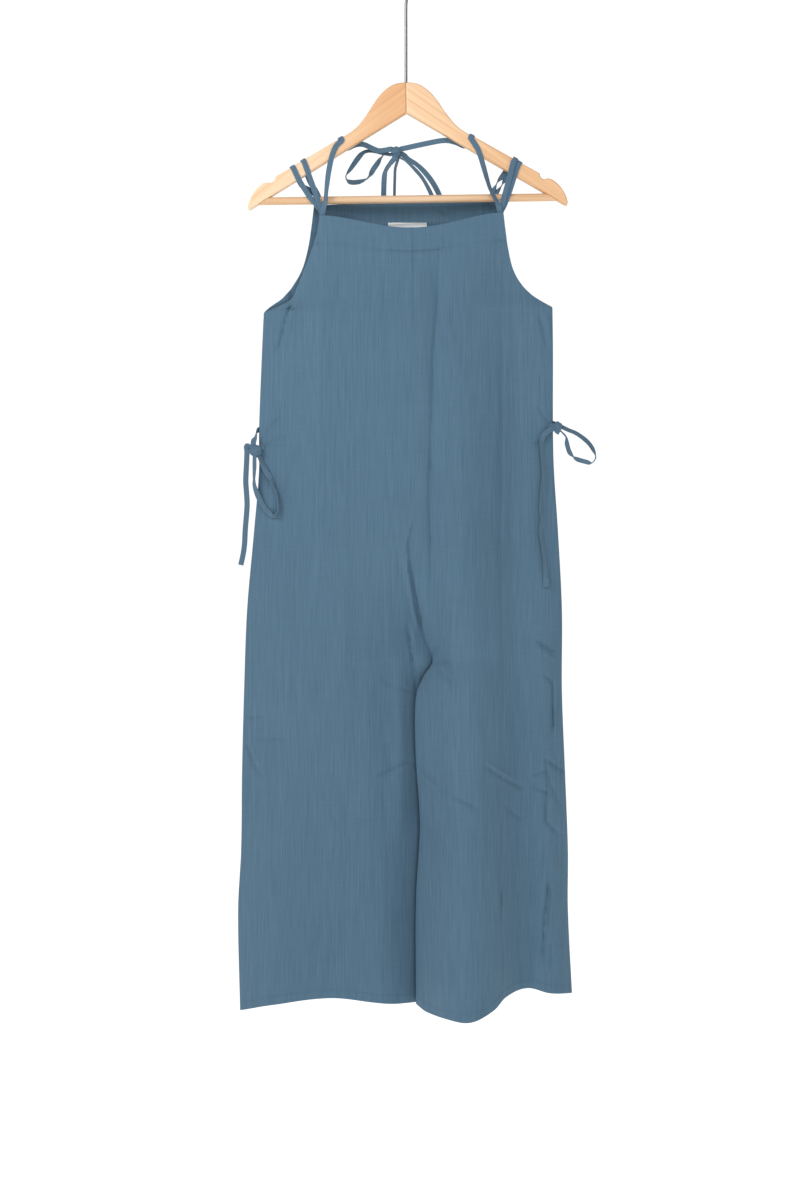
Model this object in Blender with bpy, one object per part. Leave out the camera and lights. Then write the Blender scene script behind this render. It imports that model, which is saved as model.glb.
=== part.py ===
"""A sleeveless wide-leg jumpsuit of light woven cloth, hanging on a wooden clothes hanger.

Metres, +Z up. The origin is the seat of the hanger's hook, the inner top of its bend.
The front of the jumpsuit faces -Y. Right and left are the wearer's, so the wearer's
right side lies at -X. Every cloth panel is a thin wall over an empty hollow.
"""

import math
from collections import namedtuple

import bmesh
import bpy
from mathutils import Vector

# Cloth walls, seams and straps
CLOTH = 0.0014
SEAM_GAP = 0.0003
STRAP_WIDTH = 0.0075
STRAP_THICK = 0.0012
STRAP_STEP = 0.010
SLOPE_LIMIT = 1.7

# The two faces of the garment and the two legs, as signs along Y and X
FRONT = -1
BACK = 1
RIGHT = -1
LEFT = 1

# Heights of the garment's main points
FRONT_CORNER_Z = {RIGHT: -0.3629, LEFT: -0.3587}
BACK_CORNER_Z = {RIGHT: -0.3434, LEFT: -0.3340}
UNDERARM_Z = {RIGHT: -0.4954, LEFT: -0.4885}
CENTRE_UNDERARM_Z = -0.4920
CROTCH_Z = -0.9809
HEM_SIDE_Z = {RIGHT: -1.4690, LEFT: -1.4450}
HEM_CENTRE_Z = -1.4585

# Neckline: how far the front dips and the back rises between its corners
NECK_DIP = 0.0181
NECK_DIP_POWER = 1.7
BACK_NECK_RISE = 0.0030

# The free edges of the armholes stand this far off the plane of the side seams
CORNER_OPEN = 0.0108
# How round the hollow is from seam to seam, and how the legs part at the crotch
HOLLOW_POWER = 2.4
PARTING_TOP_Z = -0.8000
INSEAM_SHIFT = 0.0080
INSEAM_SHIFT_RUN = 0.0150
FOLD_END_SHARE = 0.15
SEAM_HOLD_POWER = 6
HEM_SHAPE_TOP_Z = -1.2500

# Rows and columns of the cloth walls
COLUMNS = {FRONT: 14, BACK: 10}
COARSE_STEP = 0.0480
FINE_STEP = 0.0190
FINE_TOP_Z = -0.9400
FINE_LOW_Z = -1.0600

# Armholes: the share of the drop from corner to underarm, and where each free edge runs
ArmholeRow = namedtuple("ArmholeRow", "drop front_right front_left back_right back_left")
ARMHOLES = [
    ArmholeRow(0.00, -0.1200, 0.1353, -0.1290, 0.1269),
    ArmholeRow(0.20, -0.1246, 0.1385, -0.1325, 0.1311),
    ArmholeRow(0.40, -0.1336, 0.1426, -0.1370, 0.1367),
    ArmholeRow(0.60, -0.1444, 0.1493, -0.1451, 0.1430),
    ArmholeRow(0.75, -0.1525, 0.1604, -0.1574, 0.1541),
    ArmholeRow(0.87, -0.1615, 0.1758, -0.1723, 0.1702),
    ArmholeRow(0.95, -0.1814, 0.1922, -0.1897, 0.1883),
    ArmholeRow(1.00, -0.1981, 0.2044, -0.1981, 0.2044),
]

# Side seams, from underarm to hem
SideRow = namedtuple("SideRow", "z right left")
SIDE_SEAMS = [
    SideRow(-0.4885, -0.1981, 0.2044),
    SideRow(-0.5480, -0.2009, 0.2051),
    SideRow(-0.6600, -0.2051, 0.2051),
    SideRow(-0.7160, -0.2051, 0.2065),
    SideRow(-0.8000, -0.2120, 0.2120),
    SideRow(-0.9110, -0.2218, 0.2176),
    SideRow(-1.0230, -0.2260, 0.2176),
    SideRow(-1.1340, -0.2288, 0.2218),
    SideRow(-1.2460, -0.2302, 0.2260),
    SideRow(-1.3300, -0.2344, 0.2260),
    SideRow(-1.4690, -0.2316, 0.2330),
]

# Centre seam down to the crotch, and from there the inner edge of each leg
CentreRow = namedtuple("CentreRow", "z right left")
CENTRE_EDGES = [
    CentreRow(-0.3300, 0.0077, 0.0077),
    CentreRow(-0.4500, 0.0090, 0.0090),
    CentreRow(-0.6180, 0.0112, 0.0112),
    CentreRow(-0.7856, 0.0126, 0.0126),
    CentreRow(-0.8665, 0.0100, 0.0100),
    CentreRow(-0.9139, 0.0181, 0.0181),
    CentreRow(-0.9488, 0.0251, 0.0251),
    CentreRow(-0.9809, 0.0363, 0.0363),
    CentreRow(-1.0018, 0.0262, 0.0251),
    CentreRow(-1.0255, 0.0195, 0.0153),
    CentreRow(-1.0590, 0.0176, 0.0126),
    CentreRow(-1.1200, 0.0205, 0.0140),
    CentreRow(-1.1762, 0.0223, 0.0181),
    CentreRow(-1.2180, 0.0237, 0.0195),
    CentreRow(-1.3157, 0.0195, 0.0140),
    CentreRow(-1.4690, 0.0181, 0.0140),
]

# Depth of the hollow in front of and behind the side seams
DepthRow = namedtuple("DepthRow", "z front back")
DEPTHS = [
    DepthRow(-0.3300, 0.0030, 0.0050),
    DepthRow(-0.4000, 0.0080, 0.0080),
    DepthRow(-0.4900, 0.0200, 0.0190),
    DepthRow(-0.6000, 0.0260, 0.0240),
    DepthRow(-0.7500, 0.0290, 0.0270),
    DepthRow(-0.9000, 0.0320, 0.0300),
    DepthRow(-1.1000, 0.0340, 0.0330),
    DepthRow(-1.3000, 0.0390, 0.0380),
    DepthRow(-1.4800, 0.0440, 0.0420),
]

# Large soft folds: a ridge where the rise is above zero, a trough where it is below
Fold = namedtuple("Fold", "x_top z_top x_low z_low width rise_top rise_low")
FOLDS = {
    FRONT: [
        Fold(-0.117, -0.340, -0.117, -0.930, 0.014, 0.0030, 0.0035),
        Fold(-0.085, -0.700, -0.088, -1.060, 0.013, 0.0020, 0.0030),
        Fold(0.046, -0.370, 0.036, -0.990, 0.010, -0.0040, -0.0050),
        Fold(0.075, -0.430, 0.083, -1.800, 0.030, 0.0050, 0.0420),
        Fold(0.148, -0.380, 0.166, -1.800, 0.020, -0.0040, -0.0310),
        Fold(-0.106, -1.000, -0.106, -1.800, 0.045, 0.0000, -0.0240),
        Fold(-0.182, -0.980, -0.185, -1.800, 0.020, 0.0000, 0.0090),
        Fold(-0.028, -1.030, -0.030, -1.800, 0.020, 0.0000, 0.0110),
    ],
    BACK: [
        Fold(-0.100, -0.400, -0.120, -1.800, 0.030, 0.0030, 0.0200),
        Fold(-0.050, -0.500, -0.055, -1.800, 0.022, -0.0030, -0.0200),
        Fold(0.100, -0.420, 0.110, -1.800, 0.032, -0.0020, -0.0180),
        Fold(0.165, -0.450, 0.170, -1.800, 0.022, 0.0030, 0.0160),
        Fold(0.060, -0.950, 0.062, -1.800, 0.018, 0.0000, 0.0120),
    ],
}

# Hem: how low each face of each leg hangs, from the side seam to the inner edge
HemRow = namedtuple("HemRow", "x front back")
HEM = {
    RIGHT: [
        HemRow(-0.2316, -1.4690, -1.4690),
        HemRow(-0.1841, -1.4550, -1.4600),
        HemRow(-0.1060, -1.4465, -1.4520),
        HemRow(-0.0460, -1.4520, -1.4480),
        HemRow(-0.0153, -1.4560, -1.4520),
        HemRow(0.0181, -1.4585, -1.4585),
    ],
    LEFT: [
        HemRow(0.0140, -1.4585, -1.4585),
        HemRow(0.0279, -1.4660, -1.4560),
        HemRow(0.0586, -1.4690, -1.4500),
        HemRow(0.0893, -1.4690, -1.4450),
        HemRow(0.1214, -1.4560, -1.4380),
        HemRow(0.1367, -1.4430, -1.4370),
        HemRow(0.1702, -1.4350, -1.4350),
        HemRow(0.1981, -1.4410, -1.4370),
        HemRow(0.2330, -1.4450, -1.4450),
    ],
}

# Blank label inside the back neck
LABEL_X = (-0.0251, 0.0293)
LABEL_Z = (-0.3690, -0.3960)
LABEL_THICK = 0.0006

# Wooden hanger: one arm's outline from the peak out to the tip, in the hanger's own frame
PEAK_Z = -0.1757
HANGER_TILT = math.radians(0.8)
ARM_THICK = 0.0120
ARM_BEVEL = 0.0018
ARM_POINT_STEP = 0.0070
JOINT_DEPTH_Z = -0.0425
CrownPoint = namedtuple("CrownPoint", "x z")
ARM_CROWN = [
    CrownPoint(0.0000, 0.0000),
    CrownPoint(0.0167, -0.0025),
    CrownPoint(0.0314, -0.0123),
    CrownPoint(0.0432, -0.0258),
    CrownPoint(0.0537, -0.0419),
    CrownPoint(0.0670, -0.0590),
    CrownPoint(0.0809, -0.0704),
    CrownPoint(0.0935, -0.0770),
]
ARM_TIP = [
    CrownPoint(0.1841, -0.1295),
    CrownPoint(0.1856, -0.1345),
    CrownPoint(0.1901, -0.1380),
    CrownPoint(0.1953, -0.1366),
    CrownPoint(0.2027, -0.1392),
    CrownPoint(0.2120, -0.1472),
    CrownPoint(0.2194, -0.1585),
    CrownPoint(0.2229, -0.1702),
    CrownPoint(0.2212, -0.1747),
]
BAR_RADIUS = 0.0055
BAR_Z = -0.1622
BAR_SIDES = 16

# Steel hook: its ring, its straight shank and where the shank starts to bend
WIRE_RADIUS = 0.0020
RING_RADIUS = 0.0220
RING_CENTRE_Z = -0.0200
RING_FROM = math.radians(-35.0)
RING_TO = math.radians(207.0)
RING_TURNS = 14
SHANK_TOP_Z = -0.0560
SHANK_EASE = 0.0100
WIRE_STEP = 0.0120
# The bend from the shank into the ring: how far aside and above the shank's top it passes
BEND = [(0.0012, 0.0), (0.0072, 0.0120)]

# Which way a strap's flat side looks
FACES = {
    "front": Vector((0.0, -1.0, 0.0)),
    "back": Vector((0.0, 1.0, 0.0)),
    "up": Vector((0.0, 0.0, 1.0)),
    "down": Vector((0.0, 0.0, -1.0)),
    "out_right": Vector((-1.0, 0.0, 0.0)),
    "out_left": Vector((1.0, 0.0, 0.0)),
    "half_right": Vector((-0.7, -0.7, 0.0)),
    "half_left": Vector((0.7, -0.7, 0.0)),
    "half_up": Vector((0.0, -0.7, 0.7)),
    "half_down": Vector((0.0, -0.7, -0.7)),
    "low_right": Vector((-0.7, 0.0, -0.7)),
    "low_left": Vector((0.7, 0.0, -0.7)),
}
# A stop on a strap's way, in space or as a height above the cloth of one face
Stop = namedtuple("Stop", "x y z look")
OnFront = namedtuple("OnFront", "x z lift look")
OnBack = namedtuple("OnBack", "x z lift look")

# A strap over an arm: its side, where it crosses the arm's top edge, how many other straps lie
# under it there, and its stops before and behind the hanger
Strap = namedtuple("Strap", "leg cross_x under before behind")
STRAPS = {
    "strap_right_outer": Strap(
        RIGHT, -0.1600, 0,
        [
            Stop(-0.1165, -0.0066, -0.3715, "front"),
            Stop(-0.1175, -0.0066, -0.3590, "front"),
            Stop(-0.1240, -0.0066, -0.3480, "front"),
            Stop(-0.1339, -0.0068, -0.3364, "front"),
            Stop(-0.1479, -0.0069, -0.3141, "front"),
        ],
        [
            Stop(-0.1493, 0.0069, -0.3113, "back"),
            Stop(-0.1437, 0.0069, -0.3190, "back"),
            Stop(-0.1350, 0.0069, -0.3235, "back"),
            Stop(-0.1235, 0.0066, -0.3330, "back"),
            Stop(-0.1190, 0.0066, -0.3420, "back"),
            Stop(-0.1190, 0.0066, -0.3520, "back"),
        ],
    ),
    "strap_right_inner": Strap(
        RIGHT, -0.1451, 0,
        [
            Stop(-0.1165, -0.0081, -0.3715, "front"),
            Stop(-0.1170, -0.0081, -0.3590, "front"),
            Stop(-0.1205, -0.0082, -0.3460, "front"),
            Stop(-0.1242, -0.0083, -0.3364, "front"),
            Stop(-0.1311, -0.0075, -0.3169, "front"),
        ],
        [
            Stop(-0.1390, 0.0069, -0.2990, "back"),
            Stop(-0.1340, 0.0084, -0.3120, "back"),
            Stop(-0.1255, 0.0084, -0.3260, "back"),
            Stop(-0.1200, 0.0082, -0.3400, "back"),
            Stop(-0.1195, 0.0082, -0.3530, "back"),
        ],
    ),
    "strap_left_outer": Strap(
        LEFT, 0.1569, 0,
        [
            Stop(0.1305, -0.0066, -0.3675, "front"),
            Stop(0.1320, -0.0066, -0.3570, "front"),
            Stop(0.1375, -0.0067, -0.3460, "front"),
            Stop(0.1451, -0.0069, -0.3252, "front"),
            Stop(0.1530, -0.0069, -0.3000, "front"),
        ],
        [
            Stop(0.1480, 0.0069, -0.2950, "back"),
            Stop(0.1409, 0.0069, -0.3050, "back"),
            Stop(0.1339, 0.0069, -0.3169, "back"),
            Stop(0.1225, 0.0066, -0.3336, "back"),
            Stop(0.1200, 0.0066, -0.3440, "back"),
        ],
    ),
    "strap_left_inner": Strap(
        LEFT, 0.1505, 1,
        [
            Stop(0.1305, -0.0081, -0.3675, "front"),
            Stop(0.1310, -0.0081, -0.3570, "front"),
            Stop(0.1339, -0.0083, -0.3460, "front"),
            Stop(0.1395, -0.0084, -0.3252, "front"),
            Stop(0.1465, -0.0084, -0.2990, "front"),
        ],
        [
            Stop(0.1430, 0.0084, -0.2920, "back"),
            Stop(0.1370, 0.0084, -0.3010, "back"),
            Stop(0.1269, 0.0084, -0.3141, "back"),
            Stop(0.1210, 0.0082, -0.3290, "back"),
            Stop(0.1200, 0.0082, -0.3440, "back"),
        ],
    ),
    "halter_right": Strap(
        RIGHT, -0.0925, 0,
        [
            Stop(-0.1165, -0.0096, -0.3715, "front"),
            Stop(-0.1163, -0.0098, -0.3610, "front"),
            Stop(-0.1148, -0.0108, -0.3530, "front"),
            Stop(-0.1118, -0.0114, -0.3430, "half_right"),
            Stop(-0.1106, -0.0108, -0.3280, "half_right"),
            Stop(-0.1070, -0.0080, -0.2980, "front"),
            Stop(-0.1025, -0.0069, -0.2780, "front"),
            Stop(-0.0970, -0.0069, -0.2650, "front"),
        ],
        [
            Stop(-0.0905, 0.0069, -0.2620, "back"),
            Stop(-0.0830, 0.0069, -0.2650, "back"),
            Stop(-0.0710, 0.0069, -0.2600, "back"),
            Stop(-0.0596, 0.0070, -0.2595, "back"),
            Stop(-0.0478, 0.0085, -0.2644, "back"),
            Stop(-0.0393, 0.0105, -0.2673, "back"),
            Stop(-0.0307, 0.0115, -0.2668, "back"),
            Stop(-0.0211, 0.0115, -0.2650, "back"),
        ],
    ),
    "halter_left": Strap(
        LEFT, 0.0910, 0,
        [
            Stop(0.1305, -0.0096, -0.3675, "front"),
            Stop(0.1303, -0.0098, -0.3580, "front"),
            Stop(0.1288, -0.0108, -0.3510, "front"),
            Stop(0.1252, -0.0114, -0.3420, "half_left"),
            Stop(0.1190, -0.0110, -0.3300, "half_left"),
            Stop(0.1144, -0.0095, -0.3183, "half_left"),
            Stop(0.1025, -0.0069, -0.2764, "front"),
            Stop(0.0960, -0.0069, -0.2630, "front"),
        ],
        [
            Stop(0.0890, 0.0069, -0.2590, "back"),
            Stop(0.0810, 0.0069, -0.2615, "back"),
            Stop(0.0690, 0.0069, -0.2565, "back"),
            Stop(0.0525, 0.0070, -0.2540, "back"),
            Stop(0.0237, 0.0095, -0.2586, "back"),
            Stop(-0.0030, 0.0115, -0.2640, "back"),
            Stop(-0.0063, 0.0115, -0.2646, "back"),
        ],
    ),
}

# Knots: the middle of each and half its size
Knot = namedtuple("Knot", "middle half")
KNOTS = {
    "bow_knot": Knot(Vector((-0.0137, 0.0155, -0.2676)), Vector((0.0062, 0.0062, 0.0072))),
    "tie_right_knot": Knot(Vector((-0.2088, -0.0080, -0.6896)), Vector((0.0085, 0.0045, 0.0085))),
    "tie_left_knot": Knot(Vector((0.2108, -0.0050, -0.6570)), Vector((0.0050, 0.0045, 0.0090))),
}
KNOT_EASE = 0.0022

# The bow behind the hanger, whose tails hang down outside the back panels, and the side ties
TIES = {
    "bow_loop_right": [
        Stop(-0.0211, 0.0195, -0.2640, "down"),
        Stop(-0.0297, 0.0240, -0.2676, "down"),
        Stop(-0.0350, 0.0235, -0.2750, "out_left"),
        Stop(-0.0393, 0.0215, -0.2814, "half_left"),
        Stop(-0.0456, 0.0200, -0.2911, "front"),
        Stop(-0.0520, 0.0190, -0.3015, "out_left"),
        Stop(-0.0564, 0.0180, -0.3060, "down"),
        Stop(-0.0670, 0.0170, -0.3098, "half_down"),
        Stop(-0.0777, 0.0160, -0.3103, "half_down"),
        Stop(-0.0830, 0.0155, -0.3071, "low_right"),
        Stop(-0.0841, 0.0150, -0.3017, "out_right"),
        Stop(-0.0777, 0.0150, -0.2922, "half_right"),
        Stop(-0.0681, 0.0155, -0.2782, "front"),
        Stop(-0.0607, 0.0160, -0.2697, "half_up"),
        Stop(-0.0531, 0.0162, -0.2668, "half_up"),
        Stop(-0.0435, 0.0163, -0.2674, "half_up"),
        Stop(-0.0350, 0.0165, -0.2694, "half_up"),
        Stop(-0.0243, 0.0165, -0.2714, "half_up"),
        Stop(-0.0211, 0.0162, -0.2718, "half_up"),
    ],
    "bow_loop_left": [
        Stop(-0.0030, 0.0180, -0.2722, "front"),
        Stop(0.0035, 0.0185, -0.2777, "half_left"),
        Stop(0.0162, 0.0195, -0.2858, "half_left"),
        Stop(0.0290, 0.0205, -0.2985, "front"),
        Stop(0.0398, 0.0215, -0.3135, "front"),
        Stop(0.0488, 0.0220, -0.3326, "front"),
        Stop(0.0540, 0.0225, -0.3560, "half_left"),
        Stop(0.0520, 0.0235, -0.3720, "low_left"),
        Stop(0.0460, 0.0238, -0.3740, "down"),
        Stop(0.0420, 0.0235, -0.3600, "half_right"),
        Stop(0.0381, 0.0235, -0.3326, "half_right"),
        Stop(0.0258, 0.0230, -0.3071, "out_right"),
        Stop(0.0141, 0.0215, -0.2926, "out_right"),
        Stop(0.0003, 0.0190, -0.2800, "down"),
        Stop(-0.0085, 0.0180, -0.2754, "down"),
    ],
    "bow_tail_right": [
        Stop(-0.0160, 0.0138, -0.2764, "front"),
        Stop(-0.0170, 0.0142, -0.2790, "front"),
        Stop(-0.0225, 0.0160, -0.2850, "half_right"),
        Stop(-0.0286, 0.0185, -0.2943, "half_right"),
        Stop(-0.0307, 0.0200, -0.3071, "front"),
        Stop(-0.0315, 0.0200, -0.3326, "front"),
        OnBack(-0.0325, -0.3700, 0.0010, "front"),
        OnBack(-0.0320, -0.4200, 0.0004, "front"),
        OnBack(-0.0335, -0.4600, 0.0004, "front"),
    ],
    "bow_tail_left": [
        Stop(-0.0110, 0.0165, -0.2768, "out_left"),
        Stop(-0.0150, 0.0200, -0.2900, "out_left"),
        Stop(-0.0158, 0.0215, -0.3028, "out_left"),
        Stop(-0.0163, 0.0230, -0.3326, "out_left"),
        OnBack(-0.0150, -0.3700, 0.0030, "half_left"),
        OnBack(-0.0125, -0.4100, 0.0004, "front"),
        OnBack(-0.0130, -0.4350, 0.0004, "front"),
    ],
    "tie_right_back": [
        OnBack(-0.1975, -0.6560, 0.0016, "back"),
        OnBack(-0.2013, -0.6575, 0.0022, "back"),
        Stop(-0.2080, 0.0030, -0.6610, "out_right"),
        Stop(-0.2100, -0.0045, -0.6700, "half_right"),
        Stop(-0.2120, -0.0070, -0.6760, "front"),
        Stop(-0.2123, -0.0080, -0.6806, "front"),
    ],
    "tie_right_front": [
        OnFront(-0.1890, -0.6810, 0.0002, "front"),
        OnFront(-0.1940, -0.6825, 0.0010, "front"),
        OnFront(-0.1985, -0.6840, 0.0030, "front"),
    ],
    "tie_right_loop": [
        OnFront(-0.2105, -0.6986, 0.0070, "half_right"),
        OnFront(-0.2106, -0.7124, 0.0070, "half_right"),
        OnFront(-0.2112, -0.7290, 0.0070, "out_right"),
        OnFront(-0.2102, -0.7400, 0.0065, "half_right"),
        OnFront(-0.2039, -0.7566, 0.0035, "front"),
        OnFront(-0.1957, -0.7704, 0.0015, "front"),
        OnFront(-0.1840, -0.7807, 0.0030, "half_down"),
        OnFront(-0.1784, -0.7744, 0.0045, "out_left"),
        OnFront(-0.1777, -0.7636, 0.0045, "out_left"),
        OnFront(-0.1812, -0.7456, 0.0042, "out_left"),
        OnFront(-0.1861, -0.7318, 0.0040, "half_left"),
        OnFront(-0.1943, -0.7193, 0.0025, "front"),
        OnFront(-0.2005, -0.7069, 0.0035, "half_left"),
        OnFront(-0.2035, -0.6986, 0.0045, "half_left"),
    ],
    "tie_right_end": [
        Stop(-0.2215, -0.0080, -0.6826, "front"),
        Stop(-0.2212, -0.0080, -0.6917, "front"),
        Stop(-0.2219, -0.0078, -0.7083, "front"),
        Stop(-0.2229, -0.0075, -0.7318, "front"),
        Stop(-0.2217, -0.0072, -0.7510, "front"),
        Stop(-0.2212, -0.0070, -0.7675, "front"),
        Stop(-0.2236, -0.0068, -0.7980, "front"),
        Stop(-0.2247, -0.0066, -0.8188, "front"),
        Stop(-0.2268, -0.0065, -0.8340, "front"),
        Stop(-0.2300, -0.0065, -0.8484, "front"),
    ],
    "tie_left_back": [
        OnBack(0.1975, -0.6380, 0.0016, "back"),
        OnBack(0.2013, -0.6380, 0.0022, "back"),
        Stop(0.2080, 0.0030, -0.6388, "out_left"),
        Stop(0.2100, -0.0045, -0.6425, "half_left"),
        Stop(0.2108, -0.0050, -0.6450, "front"),
        Stop(0.2108, -0.0050, -0.6474, "front"),
    ],
    "tie_left_front": [
        OnFront(0.1950, -0.6500, 0.0002, "front"),
        OnFront(0.2000, -0.6505, 0.0008, "front"),
        OnFront(0.2045, -0.6508, 0.0022, "front"),
    ],
    "tie_left_loop": [
        Stop(0.2167, -0.0050, -0.6560, "up"),
        Stop(0.2247, -0.0060, -0.6600, "up"),
        Stop(0.2359, -0.0065, -0.6647, "half_up"),
        Stop(0.2455, -0.0070, -0.6711, "half_up"),
        Stop(0.2536, -0.0070, -0.6783, "half_left"),
        Stop(0.2599, -0.0070, -0.6871, "half_left"),
        Stop(0.2639, -0.0072, -0.6983, "out_left"),
        Stop(0.2584, -0.0075, -0.7064, "low_left"),
        Stop(0.2504, -0.0078, -0.7047, "half_down"),
        Stop(0.2391, -0.0080, -0.7015, "half_down"),
        Stop(0.2327, -0.0080, -0.6976, "down"),
        Stop(0.2271, -0.0080, -0.6903, "half_right"),
        Stop(0.2239, -0.0080, -0.6792, "half_right"),
        Stop(0.2226, -0.0075, -0.6700, "out_right"),
        Stop(0.2167, -0.0060, -0.6630, "low_right"),
    ],
    "tie_left_end": [
        OnFront(0.2034, -0.6592, 0.0036, "front"),
        OnFront(0.1980, -0.6618, 0.0028, "front"),
        OnFront(0.1904, -0.6695, 0.0012, "front"),
        OnFront(0.1883, -0.6807, 0.0008, "front"),
        OnFront(0.1900, -0.7032, 0.0006, "front"),
        OnFront(0.1911, -0.7240, 0.0006, "front"),
        OnFront(0.1885, -0.7511, 0.0006, "front"),
        OnFront(0.1875, -0.7720, 0.0006, "front"),
        OnFront(0.1887, -0.7850, 0.0006, "front"),
        OnFront(0.1874, -0.8060, 0.0006, "front"),
        OnFront(0.1924, -0.8390, 0.0006, "front"),
        OnFront(0.1946, -0.8791, 0.0006, "front"),
    ],
}


# Reading the tables


def smooth_share(start, end, value):
    """0 at the start, 1 at the end, with a soft turn at both."""
    share = (value - start) / (end - start)
    share = min(max(share, 0.0), 1.0)
    return share * share * (3.0 - 2.0 * share)


def read_curve(keys, values, key):
    """Read a smooth curve through the values at one key; the keys may rise or fall."""
    if keys[0] > keys[-1]:
        keys = [-each for each in keys]
        key = -key
    if key <= keys[0]:
        return values[0]
    if key >= keys[-1]:
        return values[-1]
    slot = 0
    while keys[slot + 1] < key:
        slot += 1

    def slope(index):
        before = max(index - 1, 0)
        after = min(index + 1, len(keys) - 1)
        return (values[after] - values[before]) / (keys[after] - keys[before])

    run = keys[slot + 1] - keys[slot]
    share = (key - keys[slot]) / run
    square = share * share
    cube = square * share
    start = (2.0 * cube - 3.0 * square + 1.0) * values[slot]
    start += (cube - 2.0 * square + share) * run * slope(slot)
    end = (3.0 * square - 2.0 * cube) * values[slot + 1]
    end += (cube - square) * run * slope(slot + 1)
    return start + end


def read_table(rows, key_column, column, key):
    """Read one named column of a table at one value of its key column."""
    keys = [getattr(row, key_column) for row in rows]
    values = [getattr(row, column) for row in rows]
    return read_curve(keys, values, key)


def side_name(leg):
    """The column that holds one leg's values."""
    return "left" if leg == LEFT else "right"


def face_name(face):
    """The column that holds one face's values."""
    return "front" if face == FRONT else "back"


# Where the cloth lies


def corner_z(face, leg):
    """Height of the strap corner of one panel."""
    heights = FRONT_CORNER_Z if face == FRONT else BACK_CORNER_Z
    return heights[leg]


def outer_edge_x(face, leg, z):
    """The armhole's free edge above the underarm and the side seam below it."""
    if z >= UNDERARM_Z[leg]:
        top = corner_z(face, leg)
        drop = (top - z) / (top - UNDERARM_Z[leg])
        column = face_name(face) + "_" + side_name(leg)
        return read_table(ARMHOLES, "drop", column, drop)
    return read_table(SIDE_SEAMS, "z", side_name(leg), z)


def centre_edge_x(leg, z):
    """The centre seam above the crotch and one leg's inner edge below it."""
    return read_table(CENTRE_EDGES, "z", side_name(leg), z)


def fold_rise(face, x, z):
    """How far the large folds lift the cloth away from the hollow."""
    rise = 0.0
    for fold in FOLDS[face]:
        share = (z - fold.z_top) / (fold.z_low - fold.z_top)
        if 0.0 < share < 1.0:
            centre = fold.x_top + (fold.x_low - fold.x_top) * share
            height = fold.rise_top + (fold.rise_low - fold.rise_top) * share
            ends = smooth_share(0.0, FOLD_END_SHARE, share)
            ends *= 1.0 - smooth_share(1.0 - FOLD_END_SHARE, 1.0, share)
            rise += height * ends * math.exp(-0.5 * ((x - centre) / fold.width) ** 2)
    return rise


def inner_y(face, leg, x, z):
    """Y of the cloth's inner side, which looks into the hollow."""
    right_edge = outer_edge_x(face, RIGHT, z)
    left_edge = outer_edge_x(face, LEFT, z)
    middle = (right_edge + left_edge) / 2.0
    across_torso = min(abs(x - middle) / ((left_edge - right_edge) / 2.0), 1.0)
    outer_edge = outer_edge_x(face, leg, z)
    inner_edge = centre_edge_x(leg, z)
    leg_middle = (outer_edge + inner_edge) / 2.0
    half_leg = abs(outer_edge - inner_edge) / 2.0
    towards_inner = max(min(-leg * (x - leg_middle) / half_leg, 1.0), -1.0)
    across_leg = abs(towards_inner)
    parted = smooth_share(PARTING_TOP_Z, CROTCH_Z, z)
    roundness = (1.0 - parted) * (1.0 - across_torso ** HOLLOW_POWER)
    roundness += parted * (1.0 - across_leg ** HOLLOW_POWER)
    hold = (1.0 - parted) * (1.0 - across_torso ** SEAM_HOLD_POWER)
    hold += parted * (1.0 - across_leg ** SEAM_HOLD_POWER)
    hollow = read_table(DEPTHS, "z", face_name(face), z) * roundness
    hollow += fold_rise(face, x, z) * hold
    opening = CORNER_OPEN * smooth_share(UNDERARM_Z[leg], corner_z(face, leg), z)
    shift = INSEAM_SHIFT * smooth_share(CROTCH_Z, CROTCH_Z - INSEAM_SHIFT_RUN, z)
    plane = -leg * shift * ((1.0 + towards_inner) / 2.0) ** 2
    return plane + face * (SEAM_GAP / 2.0 + opening + max(hollow, 0.0))


def outer_y(face, leg, x, z):
    """Y of the cloth's outer side, a wall's thickness off the inner side along its slope."""
    reach = 0.004
    middle = inner_y(face, leg, x, z)
    slope_x = (inner_y(face, leg, x + reach, z) - inner_y(face, leg, x - reach, z)) / (2.0 * reach)
    slope_z = (inner_y(face, leg, x, z + reach) - inner_y(face, leg, x, z - reach)) / (2.0 * reach)
    stretch = math.sqrt(1.0 + slope_x ** 2 + slope_z ** 2)
    return middle + face * CLOTH * min(stretch, SLOPE_LIMIT)


def neckline_z(face, x):
    """Height of the top edge of the front or the back."""
    right_x = outer_edge_x(face, RIGHT, corner_z(face, RIGHT))
    left_x = outer_edge_x(face, LEFT, corner_z(face, LEFT))
    share = min(max((x - right_x) / (left_x - right_x), 0.0), 1.0)
    straight = corner_z(face, RIGHT) + (corner_z(face, LEFT) - corner_z(face, RIGHT)) * share
    bow = math.sin(math.pi * share) ** NECK_DIP_POWER
    return straight - NECK_DIP * bow if face == FRONT else straight + BACK_NECK_RISE * bow


def body_levels():
    """Heights of the rows at the centre, from below the underarm to the hem."""
    levels = []
    z = CENTRE_UNDERARM_Z
    while z > HEM_CENTRE_Z + COARSE_STEP / 2.0:
        step = FINE_STEP if FINE_LOW_Z < z < FINE_TOP_Z else COARSE_STEP
        z -= step
        if abs(z - CROTCH_Z) < FINE_STEP / 2.0:
            z = CROTCH_Z
        levels.append(z)
    levels[-1] = HEM_CENTRE_Z
    return levels


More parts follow.
